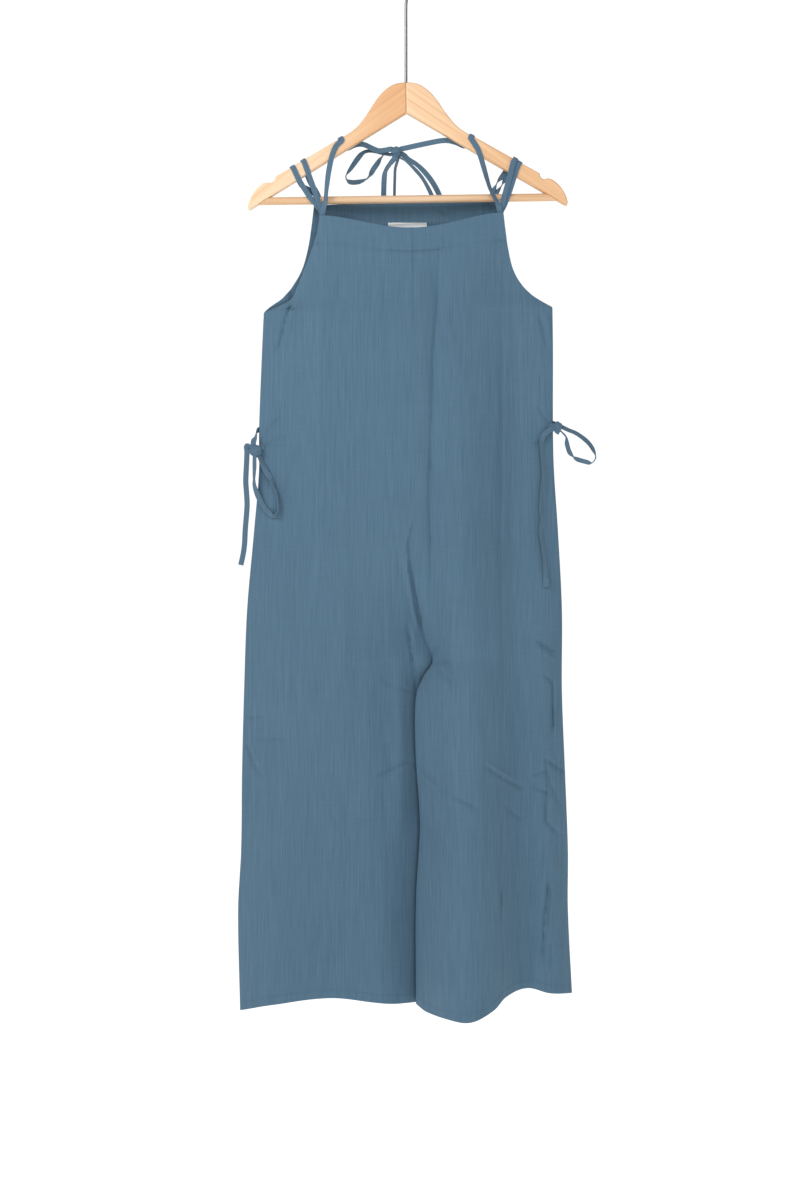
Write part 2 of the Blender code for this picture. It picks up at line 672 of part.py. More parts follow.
def panel_grid(face, leg):
    """Rows of (x, z) from neckline to hem, each from the outer edge to the centre edge."""
    top = corner_z(face, leg)
    centre_top = neckline_z(face, centre_edge_x(leg, top))
    ends = []
    for row in ARMHOLES:
        z_outer = top + (UNDERARM_Z[leg] - top) * row.drop
        z_centre = centre_top + (CENTRE_UNDERARM_Z - centre_top) * row.drop
        ends.append((z_outer, z_centre, 1.0 - row.drop))
    for z_centre in body_levels():
        share = (z_centre - CENTRE_UNDERARM_Z) / (HEM_CENTRE_Z - CENTRE_UNDERARM_Z)
        z_outer = UNDERARM_Z[leg] + (HEM_SIDE_Z[leg] - UNDERARM_Z[leg]) * share
        ends.append((z_outer, z_centre, 0.0))
    columns = COLUMNS[face]
    grid = []
    for z_outer, z_centre, neck_share in ends:
        x_outer = outer_edge_x(face, leg, z_outer)
        x_centre = centre_edge_x(leg, z_centre) + leg * SEAM_GAP / 2.0
        hem_share = smooth_share(HEM_SHAPE_TOP_Z, HEM_CENTRE_Z, z_centre)
        row = []
        for column in range(columns + 1):
            across = column / columns
            x = x_outer + (x_centre - x_outer) * across
            z = z_outer + (z_centre - z_outer) * across
            if 0 < column < columns:
                if neck_share > 0.0:
                    straight = top + (centre_top - top) * across
                    x_top = ends_x(face, leg, top, across)
                    z += neck_share * (neckline_z(face, x_top) - straight)
                hem_straight = HEM_SIDE_Z[leg] + (HEM_CENTRE_Z - HEM_SIDE_Z[leg]) * across
                z += hem_share * (read_table(HEM[leg], "x", face_name(face), x) - hem_straight)
            row.append((x, z))
        grid.append(row)
    return grid


def ends_x(face, leg, top, across):
    """X of a point of the top row, a share of the way from the corner to the centre."""
    x_outer = outer_edge_x(face, leg, top)
    return x_outer + (centre_edge_x(leg, top) - x_outer) * across


# Making solids


def make_material(name, colour, roughness, metallic=0.0):
    """A Principled material with one plain colour."""
    material = bpy.data.materials.new(name)
    material.use_nodes = True
    shader = material.node_tree.nodes["Principled BSDF"]
    shader.inputs["Base Color"].default_value = (*colour, 1.0)
    shader.inputs["Roughness"].default_value = roughness
    shader.inputs["Metallic"].default_value = metallic
    material.diffuse_color = (*colour, 1.0)
    return material


def add_object(name, mesh_data, material, smooth_angle=math.radians(40.0)):
    """Put a finished bmesh into the scene as one named object."""
    bmesh.ops.recalc_face_normals(mesh_data, faces=mesh_data.faces)
    mesh = bpy.data.meshes.new(name)
    mesh_data.to_mesh(mesh)
    mesh_data.free()
    mesh.materials.append(material)
    mesh.shade_smooth()
    mesh.set_sharp_from_angle(angle=smooth_angle)
    item = bpy.data.objects.new(name, mesh)
    bpy.context.scene.collection.objects.link(item)
    return item


def add_wall(name, outer_rows, inner_rows, material):
    """Close two matching grids of points into one thin wall."""
    shape = bmesh.new()
    outer = [[shape.verts.new(point) for point in row] for row in outer_rows]
    inner = [[shape.verts.new(point) for point in row] for row in inner_rows]
    last_row = len(outer) - 1
    last_column = len(outer[0]) - 1
    for sheet in (outer, inner):
        for row in range(last_row):
            for column in range(last_column):
                a = sheet[row][column]
                b = sheet[row][column + 1]
                c = sheet[row + 1][column + 1]
                d = sheet[row + 1][column]
                shape.faces.new((a, b, c))
                shape.faces.new((a, c, d))
    for row in range(last_row):
        for column in (0, last_column):
            upper = (outer[row][column], inner[row][column])
            lower = (inner[row + 1][column], outer[row + 1][column])
            shape.faces.new(upper + lower)
    for column in range(last_column):
        for row in (0, last_row):
            first = (outer[row][column], inner[row][column])
            second = (inner[row][column + 1], outer[row][column + 1])
            shape.faces.new(first + second)
    return add_object(name, shape, material)


def add_panel(name, face, leg, material):
    """One cut piece of the jumpsuit, from neckline to hem."""
    outer_rows = []
    inner_rows = []
    for row in panel_grid(face, leg):
        outer_rows.append([(x, outer_y(face, leg, x, z), z) for x, z in row])
        inner_rows.append([(x, inner_y(face, leg, x, z), z) for x, z in row])
    return add_wall(name, outer_rows, inner_rows, material)


def add_label(name, material):
    """The blank label, made from the back panels' inner points moved into the hollow."""
    rows = 3
    columns = 6
    near_rows = []
    far_rows = []
    for row in range(rows + 1):
        z = LABEL_Z[0] + (LABEL_Z[1] - LABEL_Z[0]) * row / rows
        near = []
        far = []
        for column in range(columns + 1):
            x = LABEL_X[0] + (LABEL_X[1] - LABEL_X[0]) * column / columns
            leg = RIGHT if x < centre_edge_x(RIGHT, z) else LEFT
            y = inner_y(BACK, leg, x, z) - 2.0 * SEAM_GAP
            far.append((x, y, z))
            near.append((x, y - LABEL_THICK, z))
        near_rows.append(near)
        far_rows.append(far)
    return add_wall(name, near_rows, far_rows, material)


def curve_points(points, step):
    """Points on a smooth curve through the given points, about one step apart."""
    result = []
    for index in range(len(points) - 1):
        before = points[max(index - 1, 0)]
        start = points[index]
        end = points[index + 1]
        after = points[min(index + 2, len(points) - 1)]
        count = max(int(math.ceil((end - start).length / step)), 1)
        for number in range(count):
            share = number / count
            square = share * share
            cube = square * share
            point = start * (2.0 * cube - 3.0 * square + 1.0)
            point += end * (3.0 * square - 2.0 * cube)
            point += (end - before) * 0.5 * (cube - 2.0 * square + share)
            point += (after - start) * 0.5 * (cube - square)
            result.append((point, index + share))
    result.append((points[-1], len(points) - 1.0))
    return result


def placed(stop):
    """Where a stop lies in space; one given by the cloth is moved out from the cloth's points."""
    if isinstance(stop, Stop):
        return Vector((stop.x, stop.y, stop.z))
    face = FRONT if isinstance(stop, OnFront) else BACK
    leg = RIGHT if stop.x < centre_edge_x(RIGHT, stop.z) else LEFT
    clear = SEAM_GAP + STRAP_THICK / 2.0 + stop.lift
    return Vector((stop.x, outer_y(face, leg, stop.x, stop.z) + face * clear, stop.z))


def add_band(name, stops, material):
    """A flat narrow strap that runs through its stops and turns its flat side with them."""
    route = [placed(stop) for stop in stops]
    looks = [stop.look if isinstance(stop.look, Vector) else FACES[stop.look] for stop in stops]
    path = curve_points(route, STRAP_STEP)
    shape = bmesh.new()
    rings = []
    for number, (point, position) in enumerate(path):
        before = path[max(number - 1, 0)][0]
        after = path[min(number + 1, len(path) - 1)][0]
        along = (after - before).normalized()
        slot = min(int(position), len(looks) - 2)
        share = position - slot
        look = looks[slot] * (1.0 - share) + looks[slot + 1] * share
        look = (look - along * look.dot(along)).normalized()
        side = along.cross(look)
        ring = []
        for across, lift in ((-1, -1), (1, -1), (1, 1), (-1, 1)):
            offset = side * across * STRAP_WIDTH / 2.0 + look * lift * STRAP_THICK / 2.0
            ring.append(shape.verts.new(point + offset))
        rings.append(ring)
    for first, second in zip(rings, rings[1:]):
        for corner in range(4):
            following = (corner + 1) % 4
            shape.faces.new((first[corner], first[following], second[following], second[corner]))
    shape.faces.new(rings[0])
    shape.faces.new(rings[-1])
    bmesh.ops.triangulate(shape, faces=shape.faces)
    return add_object(name, shape, material)


def add_knot(name, knot, material):
    """A small pulled-tight knot with eased corners."""
    shape = bmesh.new()
    bmesh.ops.create_cube(shape, size=2.0)
    bmesh.ops.scale(shape, vec=knot.half, verts=shape.verts)
    bmesh.ops.translate(shape, vec=knot.middle, verts=shape.verts)
    bmesh.ops.bevel(shape, geom=shape.edges, offset=KNOT_EASE, segments=2, profile=0.5, affect="EDGES")
    return add_object(name, shape, material)


def tilted(x, y, z):
    """Turn a point of the hanger's own frame with the hanger and place it under the hook."""
    turned_x = x * math.cos(HANGER_TILT) - z * math.sin(HANGER_TILT)
    turned_z = z * math.cos(HANGER_TILT) + x * math.sin(HANGER_TILT)
    return Vector((turned_x, y, PEAK_Z + turned_z))


def arm_top(leg, x):
    """The top edge of one arm above one place along X, and the way its slope looks."""
    crown = ARM_CROWN + ARM_TIP[:1]
    reach = 0.003

    def height(own_x):
        return read_table(crown, "x", "z", own_x)

    own_x = abs(x)
    fall = (height(own_x + reach) - height(own_x - reach)) / (2.0 * reach)
    point = tilted(leg * own_x, 0.0, height(own_x))
    return point, Vector((-leg * fall, 0.0, 1.0)).normalized()


def over_arm(strap):
    """Stops that carry a strap over an arm, flat against its front, its top and its back."""
    lift = SEAM_GAP + STRAP_THICK / 2.0 + strap.under * (STRAP_THICK + SEAM_GAP)
    flat = ARM_THICK / 2.0 - ARM_BEVEL
    ring = ARM_BEVEL + lift
    turn = ring * math.sqrt(0.5)
    around = [
        (-flat - ring, -ARM_BEVEL - ring, FACES["front"]),
        (-flat - ring, -ARM_BEVEL, FACES["front"]),
        (-flat - turn, turn - ARM_BEVEL, None),
        (-flat, lift, None),
        (flat, lift, None),
        (flat + turn, turn - ARM_BEVEL, None),
        (flat + ring, -ARM_BEVEL, FACES["back"]),
        (flat + ring, -ARM_BEVEL - ring, FACES["back"]),
    ]
    point, upward = arm_top(strap.leg, strap.cross_x)
    stops = []
    for y, height, look in around:
        if look is None:
            look = upward * max(height + ARM_BEVEL, 0.0) + Vector((0.0, y - math.copysign(flat, y), 0.0))
            look.normalize()
        place = point + upward * height
        stops.append(Stop(place.x, y, place.z, look))
    return strap.before + stops + strap.behind


def arm_outline():
    """One arm's outline in the hanger's own frame, from the peak round to the joint."""
    crown = [Vector((point.x, 0.0, point.z)) for point in ARM_CROWN]
    tip = [Vector((point.x, 0.0, point.z)) for point in ARM_TIP]
    outline = [point for point, _ in curve_points(crown, ARM_POINT_STEP)]
    outline += [point for point, _ in curve_points(tip, ARM_POINT_STEP / 2.0)]
    outline.append(Vector((0.0, 0.0, JOINT_DEPTH_Z)))
    return outline


def add_arm(name, leg, material):
    """One wooden arm: its outline, drawn out to the wood's thickness, with eased edges."""
    shape = bmesh.new()
    corners = []
    for point in arm_outline():
        x = leg * max(point.x, SEAM_GAP / 2.0)
        corners.append(shape.verts.new(tilted(x, -ARM_THICK / 2.0, point.z)))
    shape.faces.new(corners)
    grown = bmesh.ops.extrude_face_region(shape, geom=list(shape.faces))
    moved = [item for item in grown["geom"] if isinstance(item, bmesh.types.BMVert)]
    bmesh.ops.translate(shape, vec=(0.0, ARM_THICK, 0.0), verts=moved)
    arm = add_object(name, shape, material)
    ease = arm.modifiers.new("eased_edges", "BEVEL")
    ease.width = ARM_BEVEL
    ease.segments = 2
    ease.limit_method = "ANGLE"
    ease.angle_limit = math.radians(60.0)
    return arm


def add_bar(name, material):
    """The trouser bar: a dowel whose ends are cut to the slope of the arms' undersides."""
    tip = ARM_TIP[-1]
    slope = (tip.z - JOINT_DEPTH_Z) / tip.x
    clearance = SEAM_GAP / math.sin(math.atan(-slope))
    shape = bmesh.new()
    rings = []
    for leg in (RIGHT, LEFT):
        ring = []
        for side in range(BAR_SIDES):
            angle = 2.0 * math.pi * side / BAR_SIDES
            y = BAR_RADIUS * math.cos(angle)
            z = BAR_Z + BAR_RADIUS * math.sin(angle)
            x = (z - JOINT_DEPTH_Z) / slope - clearance
            ring.append(shape.verts.new(tilted(leg * x, y, z)))
        rings.append(ring)
        shape.faces.new(ring)
    for side in range(BAR_SIDES):
        following = (side + 1) % BAR_SIDES
        lower = (rings[0][side], rings[0][following])
        upper = (rings[1][following], rings[1][side])
        shape.faces.new(lower + upper)
    return add_object(name, shape, material)


def add_hook(name, material):
    """The steel hook: a straight shank that bends into an open ring."""
    start = Vector((0.0, 0.0, PEAK_Z + 2.0 * SEAM_GAP))
    points = [start, Vector((0.0, 0.0, (start.z + SHANK_TOP_Z) / 2.0))]
    points.append(Vector((0.0, 0.0, SHANK_TOP_Z - SHANK_EASE)))
    points += [Vector((aside, 0.0, SHANK_TOP_Z + above)) for aside, above in BEND]
    for number in range(RING_TURNS + 1):
        angle = RING_FROM + (RING_TO - RING_FROM) * number / RING_TURNS
        x = RING_RADIUS * math.cos(angle)
        z = RING_CENTRE_Z + RING_RADIUS * math.sin(angle)
        points.append(Vector((x, 0.0, z)))
    curve = bpy.data.curves.new(name, "CURVE")
    curve.dimensions = "3D"
    curve.bevel_depth = WIRE_RADIUS
    curve.bevel_resolution = 2
    curve.use_fill_caps = True
    spline = curve.splines.new("POLY")
    path = [point for point, _ in curve_points(points, WIRE_STEP)]
    spline.points.add(len(path) - 1)
    for target, point in zip(spline.points, path):
        target.co = (*point, 1.0)
    curve.materials.append(material)
    hook = bpy.data.objects.new(name, curve)
    bpy.context.scene.collection.objects.link(hook)
    return hook


def build():
    """Model the jumpsuit and its hanger in an empty scene."""
    for item in list(bpy.data.objects):
        bpy.data.objects.remove(item, do_unlink=True)
    cloth = make_material("slate_blue_cloth", (0.095, 0.176, 0.250), 0.85)
    trim = make_material("slate_blue_strap", (0.085, 0.150, 0.215), 0.85)
    white = make_material("white_label", (0.80, 0.82, 0.82), 0.70)
    pale_wood = make_material("pale_lotus_wood", (0.80, 0.52, 0.28), 0.45)
    warm_wood = make_material("warm_lotus_wood", (0.72, 0.39, 0.16), 0.45)
    steel = make_material("plated_steel", (0.45, 0.45, 0.46), 0.30, 1.0)
    add_panel("front_right_panel", FRONT, RIGHT, cloth)
    add_panel("front_left_panel", FRONT, LEFT, cloth)
    add_panel("back_right_panel", BACK, RIGHT, cloth)
    add_panel("back_left_panel", BACK, LEFT, cloth)
    add_label("neck_label", white)
    for name, strap in STRAPS.items():
        add_band(name, over_arm(strap), trim)
    for name, stops in TIES.items():
        add_band(name, stops, trim)
    for name, knot in KNOTS.items():
        add_knot(name, knot, trim)
    add_arm("hanger_arm_right", RIGHT, pale_wood)
    add_arm("hanger_arm_left", LEFT, warm_wood)
    add_bar("hanger_bar", warm_wood)
    add_hook("hanger_hook", steel)


build()
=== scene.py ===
"""Looks for a sleeveless wide-leg jumpsuit of slate-blue cloth on a wooden clothes hanger."""

import math
from collections import namedtuple

import bpy
import numpy as np
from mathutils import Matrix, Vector


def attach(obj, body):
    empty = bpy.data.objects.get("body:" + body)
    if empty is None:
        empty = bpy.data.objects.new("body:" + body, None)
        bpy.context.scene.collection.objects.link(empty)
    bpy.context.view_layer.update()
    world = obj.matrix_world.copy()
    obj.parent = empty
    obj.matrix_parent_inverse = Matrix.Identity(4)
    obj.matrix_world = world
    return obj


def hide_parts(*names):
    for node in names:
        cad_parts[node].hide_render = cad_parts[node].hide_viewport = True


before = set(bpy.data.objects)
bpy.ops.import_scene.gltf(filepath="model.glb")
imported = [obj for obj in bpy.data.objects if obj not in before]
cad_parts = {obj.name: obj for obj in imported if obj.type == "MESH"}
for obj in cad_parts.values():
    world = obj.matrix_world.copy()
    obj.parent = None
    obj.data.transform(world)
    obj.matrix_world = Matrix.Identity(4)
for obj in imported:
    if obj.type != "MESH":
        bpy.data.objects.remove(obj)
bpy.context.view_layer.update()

# The photograph's camera: level with the middle of the garment, 2.6 m in front of it, with a
# lens that takes in 1.67 m from top to bottom at that distance.
photo_view = bpy.data.cameras.new("photo_camera")
photo_view.sensor_fit = "VERTICAL"
photo_view.sensor_height = 36.0
photo_view.lens = 55.9
photo_camera = bpy.data.objects.new("photo_camera", photo_view)
photo_camera.location = (-0.0084, -2.6, -0.897)
photo_camera.rotation_euler = (math.radians(90.0), 0.0, 0.0)
bpy.context.scene.collection.objects.link(photo_camera)
bpy.context.scene.camera = photo_camera
bpy.context.scene.view_settings.view_transform = "Standard"


# The studio: dim white room light, a small soft lamp near the left that shows the creases and a
# broad one further away on the right, over a plain pale floor well below the hem.
def to_linear(code):
    """A colour written as sRGB hex, in linear light."""
    parts = [int(code[at:at + 2], 16) / 255.0 for at in (1, 3, 5)]
    return [p / 12.92 if p <= 0.04045 else ((p + 0.055) / 1.055) ** 2.4 for p in parts] + [1.0]


def add_node(tree, kind, values=None, links=None, **settings):
    """One shader node with its settings, socket values and incoming links."""
    node = tree.nodes.new(kind)
    for name, value in settings.items():
        setattr(node, name, value)
    for socket, value in (values or {}).items():
        node.inputs[socket].default_value = value
    for socket, source in (links or {}).items():
        tree.links.new(source, node.inputs[socket])
    return node


def new_finish(name, roughness, **sockets):
    """A new material with its Principled shader's even values set."""
    finish = bpy.data.materials.new(name)
    finish.use_nodes = True
    shader = finish.node_tree.nodes["Principled BSDF"]
    shader.inputs["Roughness"].default_value = roughness
    for socket, value in sockets.items():
        shader.inputs[socket.replace("_", " ")].default_value = value
    return finish, finish.node_tree, shader


def set_tones(ramp, dark, light, low=0.0, high=1.0):
    """Set the two tones of a colour ramp and the values at which they lie."""
    for element, position, code in zip(ramp.color_ramp.elements, (low, high), (dark, light)):
        element.position = position
        element.color = to_linear(code)


FLOOR_Z = -1.95
FLOOR_SIZE = 14.0
FLOOR_GLOW = 0.75
ROOM_LIGHT = 0.42
BACKDROP_LIGHT = 1.05
WHITE = (1.0, 1.0, 1.0, 1.0)
Lamp = namedtuple("Lamp", "name place aim watts width")
LAMPS = [
    Lamp("soft_lamp_left", (-1.3, -1.1, 0.5), (0.1, 0.0, -0.8), 14.5, 0.5),
    Lamp("soft_lamp_right", (0.4, -2.4, 0.5), (0.0, 0.0, -0.4), 15.5, 1.2),
]
world = bpy.data.worlds.new("white_room")
bpy.context.scene.world = world
world.use_nodes = True
room = world.node_tree.nodes["Background"]
room.inputs["Color"].default_value = WHITE
room.inputs["Strength"].default_value = ROOM_LIGHT
seen = add_node(world.node_tree, "ShaderNodeLightPath")
white = add_node(world.node_tree, "ShaderNodeBackground", {"Color": WHITE, "Strength": BACKDROP_LIGHT})
mixed = add_node(
    world.node_tree,
    "ShaderNodeMixShader",
    links={0: seen.outputs["Is Camera Ray"], 1: room.outputs[0], 2: white.outputs[0]},
)
world.node_tree.links.new(mixed.outputs[0], world.node_tree.nodes["World Output"].inputs["Surface"])

for lamp in LAMPS:
    lamp_data = bpy.data.lights.new(lamp.name, "AREA")
    lamp_data.energy = lamp.watts
    lamp_data.size = lamp.width
    lamp_object = bpy.data.objects.new(lamp.name, lamp_data)
    lamp_object.location = lamp.place
    lamp_object.rotation_euler = (Vector(lamp.aim) - Vector(lamp.place)).to_track_quat("-Z", "Y").to_euler()
    bpy.context.scene.collection.objects.link(lamp_object)

bpy.ops.object.select_all(action="DESELECT")
bpy.ops.mesh.primitive_plane_add(size=FLOOR_SIZE, location=(0.0, 0.0, FLOOR_Z))
floor = bpy.context.active_object
floor.name = "pale_floor"
bpy.ops.object.transform_apply(location=True, rotation=True, scale=True)
floor_finish, floor_tree, floor_shader = new_finish("matt_white_vinyl_floor", 0.9)
floor_cloud = add_node(floor_tree, "ShaderNodeTexNoise", {"Scale": 1.5, "Detail": 3.0})
floor_tone = add_node(floor_tree, "ShaderNodeValToRGB", links={"Fac": floor_cloud.outputs["Fac"]})
set_tones(floor_tone, "#f4f4f3", "#fbfbfa")
for socket in ("Base Color", "Emission Color"):
    floor_tree.links.new(floor_tone.outputs["Color"], floor_shader.inputs[socket])
floor_shader.inputs["Emission Strength"].default_value = FLOOR_GLOW
floor.data.materials.append(floor_finish)

# Where the garment's cloth hangs. It is cut in four panels, front and back of each side, each
# from neckline to hem, with no waist seam. Right and left are the wearer's, and -Y is front.
FRONT, BACK = -1, 1
RIGHT, LEFT = -1, 1
SIDES = {RIGHT: "right", LEFT: "left"}
FACES = {FRONT: "front", BACK: "back"}
CAD_CLOTH = 0.0014
SEAM_GAP = 0.0003
SEAM_LAP = 0.0003
CORNER_Z = {FRONT: {RIGHT: -0.3629, LEFT: -0.3587}, BACK: {RIGHT: -0.3434, LEFT: -0.3340}}
UNDERARM_Z = {RIGHT: -0.4954, LEFT: -0.4885}
CENTRE_UNDERARM_Z = -0.4920
CROTCH_Z = -0.9809
HEM_SIDE_Z = {RIGHT: -1.4690, LEFT: -1.4450}
HEM_CENTRE_Z = -1.4585
ARMHOLE_DROP = (0.0, 0.20, 0.40, 0.60, 0.75, 0.87, 0.95, 1.0)
ARMHOLES = {
    (FRONT, RIGHT): (-0.1200, -0.1246, -0.1336, -0.1444, -0.1525, -0.1615, -0.1814, -0.1981),
    (FRONT, LEFT): (0.1353, 0.1385, 0.1426, 0.1493, 0.1604, 0.1758, 0.1922, 0.2044),
    (BACK, RIGHT): (-0.1290, -0.1325, -0.1370, -0.1451, -0.1574, -0.1723, -0.1897, -0.1981),
    (BACK, LEFT): (0.1269, 0.1311, 0.1367, 0.1430, 0.1541, 0.1702, 0.1883, 0.2044),
}
SideRow = namedtuple("SideRow", "z right left")
SIDE_SEAMS = [
    SideRow(-0.4885, -0.1981, 0.2044),
    SideRow(-0.5480, -0.2009, 0.2051),
    SideRow(-0.6600, -0.2051, 0.2051),
    SideRow(-0.7160, -0.2051, 0.2065),
    SideRow(-0.8000, -0.2120, 0.2120),
    SideRow(-0.9110, -0.2218, 0.2176),
    SideRow(-1.0230, -0.2260, 0.2176),
    SideRow(-1.1340, -0.2288, 0.2218),
    SideRow(-1.2460, -0.2302, 0.2260),
    SideRow(-1.3300, -0.2344, 0.2260),
    SideRow(-1.4690, -0.2316, 0.2330),
]
CentreRow = namedtuple("CentreRow", "z right left")
CENTRE_EDGES = [
    CentreRow(-0.3300, 0.0077, 0.0077),
    CentreRow(-0.4500, 0.0090, 0.0090),
    CentreRow(-0.6180, 0.0112, 0.0112),
    CentreRow(-0.7856, 0.0126, 0.0126),
    CentreRow(-0.8665, 0.0100, 0.0100),
    CentreRow(-0.9139, 0.0181, 0.0181),
    CentreRow(-0.9488, 0.0251, 0.0251),
    CentreRow(-0.9809, 0.0363, 0.0363),
    CentreRow(-1.0018, 0.0262, 0.0251),
    CentreRow(-1.0255, 0.0195, 0.0153),
    CentreRow(-1.0590, 0.0176, 0.0126),
    CentreRow(-1.1200, 0.0205, 0.0140),
    CentreRow(-1.1762, 0.0223, 0.0181),
    CentreRow(-1.2180, 0.0237, 0.0195),
    CentreRow(-1.3157, 0.0195, 0.0140),
    CentreRow(-1.4690, 0.0181, 0.0140),
]
DepthRow = namedtuple("DepthRow", "z front back")
DEPTHS = [
    DepthRow(-0.3300, 0.0030, 0.0050),
    DepthRow(-0.4000, 0.0080, 0.0080),
    DepthRow(-0.4900, 0.0200, 0.0190),
    DepthRow(-0.6000, 0.0260, 0.0240),
    DepthRow(-0.7500, 0.0290, 0.0270),
    DepthRow(-0.9000, 0.0320, 0.0300),
    DepthRow(-1.1000, 0.0340, 0.0330),
    DepthRow(-1.3000, 0.0390, 0.0380),
    DepthRow(-1.4800, 0.0440, 0.0420),
]
Fold = namedtuple("Fold", "x_top z_top x_low z_low width rise_top rise_low")
FOLDS = {
    FRONT: [
        Fold(-0.117, -0.340, -0.117, -0.930, 0.014, 0.0030, 0.0035),
        Fold(-0.085, -0.700, -0.088, -1.060, 0.013, 0.0020, 0.0030),
        Fold(0.046, -0.370, 0.036, -0.990, 0.010, -0.0040, -0.0050),
        Fold(0.075, -0.430, 0.083, -1.800, 0.030, 0.0050, 0.0420),
        Fold(0.148, -0.380, 0.166, -1.800, 0.020, -0.0040, -0.0310),
        Fold(-0.106, -1.000, -0.106, -1.800, 0.045, 0.0000, -0.0240),
        Fold(-0.182, -0.980, -0.185, -1.800, 0.020, 0.0000, 0.0090),
        Fold(-0.028, -1.030, -0.030, -1.800, 0.020, 0.0000, 0.0110),
    ],
    BACK: [
        Fold(-0.100, -0.400, -0.120, -1.800, 0.030, 0.0030, 0.0200),
        Fold(-0.050, -0.500, -0.055, -1.800, 0.022, -0.0030, -0.0200),
        Fold(0.100, -0.420, 0.110, -1.800, 0.032, -0.0020, -0.0180),
        Fold(0.165, -0.450, 0.170, -1.800, 0.022, 0.0030, 0.0160),
        Fold(0.060, -0.950, 0.062, -1.800, 0.018, 0.0000, 0.0120),
    ],
}
HemRow = namedtuple("HemRow", "x front back")
HEM = {
    RIGHT: [
        HemRow(-0.2316, -1.4690, -1.4690),
        HemRow(-0.1841, -1.4550, -1.4600),
        HemRow(-0.1060, -1.4465, -1.4520),
        HemRow(-0.0460, -1.4520, -1.4480),
        HemRow(-0.0153, -1.4560, -1.4520),
        HemRow(0.0181, -1.4585, -1.4585),
    ],
    LEFT: [
        HemRow(0.0140, -1.4585, -1.4585),
        HemRow(0.0279, -1.4660, -1.4560),
        HemRow(0.0586, -1.4690, -1.4500),
        HemRow(0.0893, -1.4690, -1.4450),
        HemRow(0.1214, -1.4560, -1.4380),
        HemRow(0.1367, -1.4430, -1.4370),
        HemRow(0.1702, -1.4350, -1.4350),
        HemRow(0.1981, -1.4410, -1.4370),
        HemRow(0.2330, -1.4450, -1.4450),
    ],
}
LEG_SHIFT = 0.0080
LEG_SHIFT_ZONE = (CROTCH_Z + 0.0050, CROTCH_Z - 0.0380)
LEGS_PART_Z = -0.8000
ROUNDNESS = 2.4
HOLD = 6
FOLD_FADE = 0.15
ARMHOLE_OPENING = 0.0108
SLOPE_REACH = 0.0040
MOST_STRETCH = 1.7
NECK_BOW = {FRONT: -0.0200, BACK: 0.0030}
NECK_CURVE = 1.7
HEM_BEND_Z = -1.2500


def soft_share(start, end, value):
    """0 at the start, 1 at the end, with a soft turn at both."""
    share = np.clip((np.asarray(value, float) - start) / (end - start), 0.0, 1.0)
    return share * share * (3.0 - 2.0 * share)


def read_curve(keys, values, at):
    """A smooth curve through the values at their keys, read at many places at once."""
    keys = np.asarray(keys, float)
    values = np.asarray(values, float)
    at = np.asarray(at, float)
    if keys[0] > keys[-1]:
        keys, at = -keys, -at
    before = np.maximum(np.arange(len(keys)) - 1, 0)
    after = np.minimum(np.arange(len(keys)) + 1, len(keys) - 1)
    slopes = (values[after] - values[before]) / (keys[after] - keys[before])
    at = np.clip(at, keys[0], keys[-1])
    slot = np.clip(np.searchsorted(keys, at, side="left") - 1, 0, len(keys) - 2)
    run = keys[slot + 1] - keys[slot]
    share = (at - keys[slot]) / run
    square = share * share
    cube = square * share
    start = (2.0 * cube - 3.0 * square + 1.0) * values[slot]
    start += (cube - 2.0 * square + share) * run * slopes[slot]
    end = (3.0 * square - 2.0 * cube) * values[slot + 1]
    return start + end + (cube - square) * run * slopes[slot + 1]


def read_table(rows, key, column, at):
    """One named column of a table, read at values of its key column."""
    return read_curve([getattr(row, key) for row in rows], [getattr(row, column) for row in rows], at)


def outer_edge_x(face, leg, z):
    """The armhole's free edge above the underarm and the side seam below it."""
    top = CORNER_Z[face][leg]
    drop = (top - z) / (top - UNDERARM_Z[leg])
    armhole = read_curve(ARMHOLE_DROP, ARMHOLES[face, leg], drop)
    return np.where(z >= UNDERARM_Z[leg], armhole, read_table(SIDE_SEAMS, "z", SIDES[leg], z))


def centre_edge_x(leg, z):
    """The centre seam above the crotch and one leg's inner edge below it."""
    return read_table(CENTRE_EDGES, "z", SIDES[leg], z)


def towards_inner(face, leg, x, z):
    """-1 at a panel's outer edge, 0 at its middle and 1 at its centre edge."""
    outer_edge = outer_edge_x(face, leg, z)
    inner_edge = centre_edge_x(leg, z)
    middle = (outer_edge + inner_edge) / 2.0
    half = np.abs(outer_edge - inner_edge) / 2.0
    return np.clip(-leg * (x - middle) / half, -1.0, 1.0)


def hollow_plane(leg, x, z):
    """Y of the seams' plane, which bends so that the legs pass each other at their inner edges."""
    shift = LEG_SHIFT * soft_share(*LEG_SHIFT_ZONE, z)
    return -leg * shift * ((1.0 + towards_inner(FRONT, leg, x, z)) / 2.0) ** 2


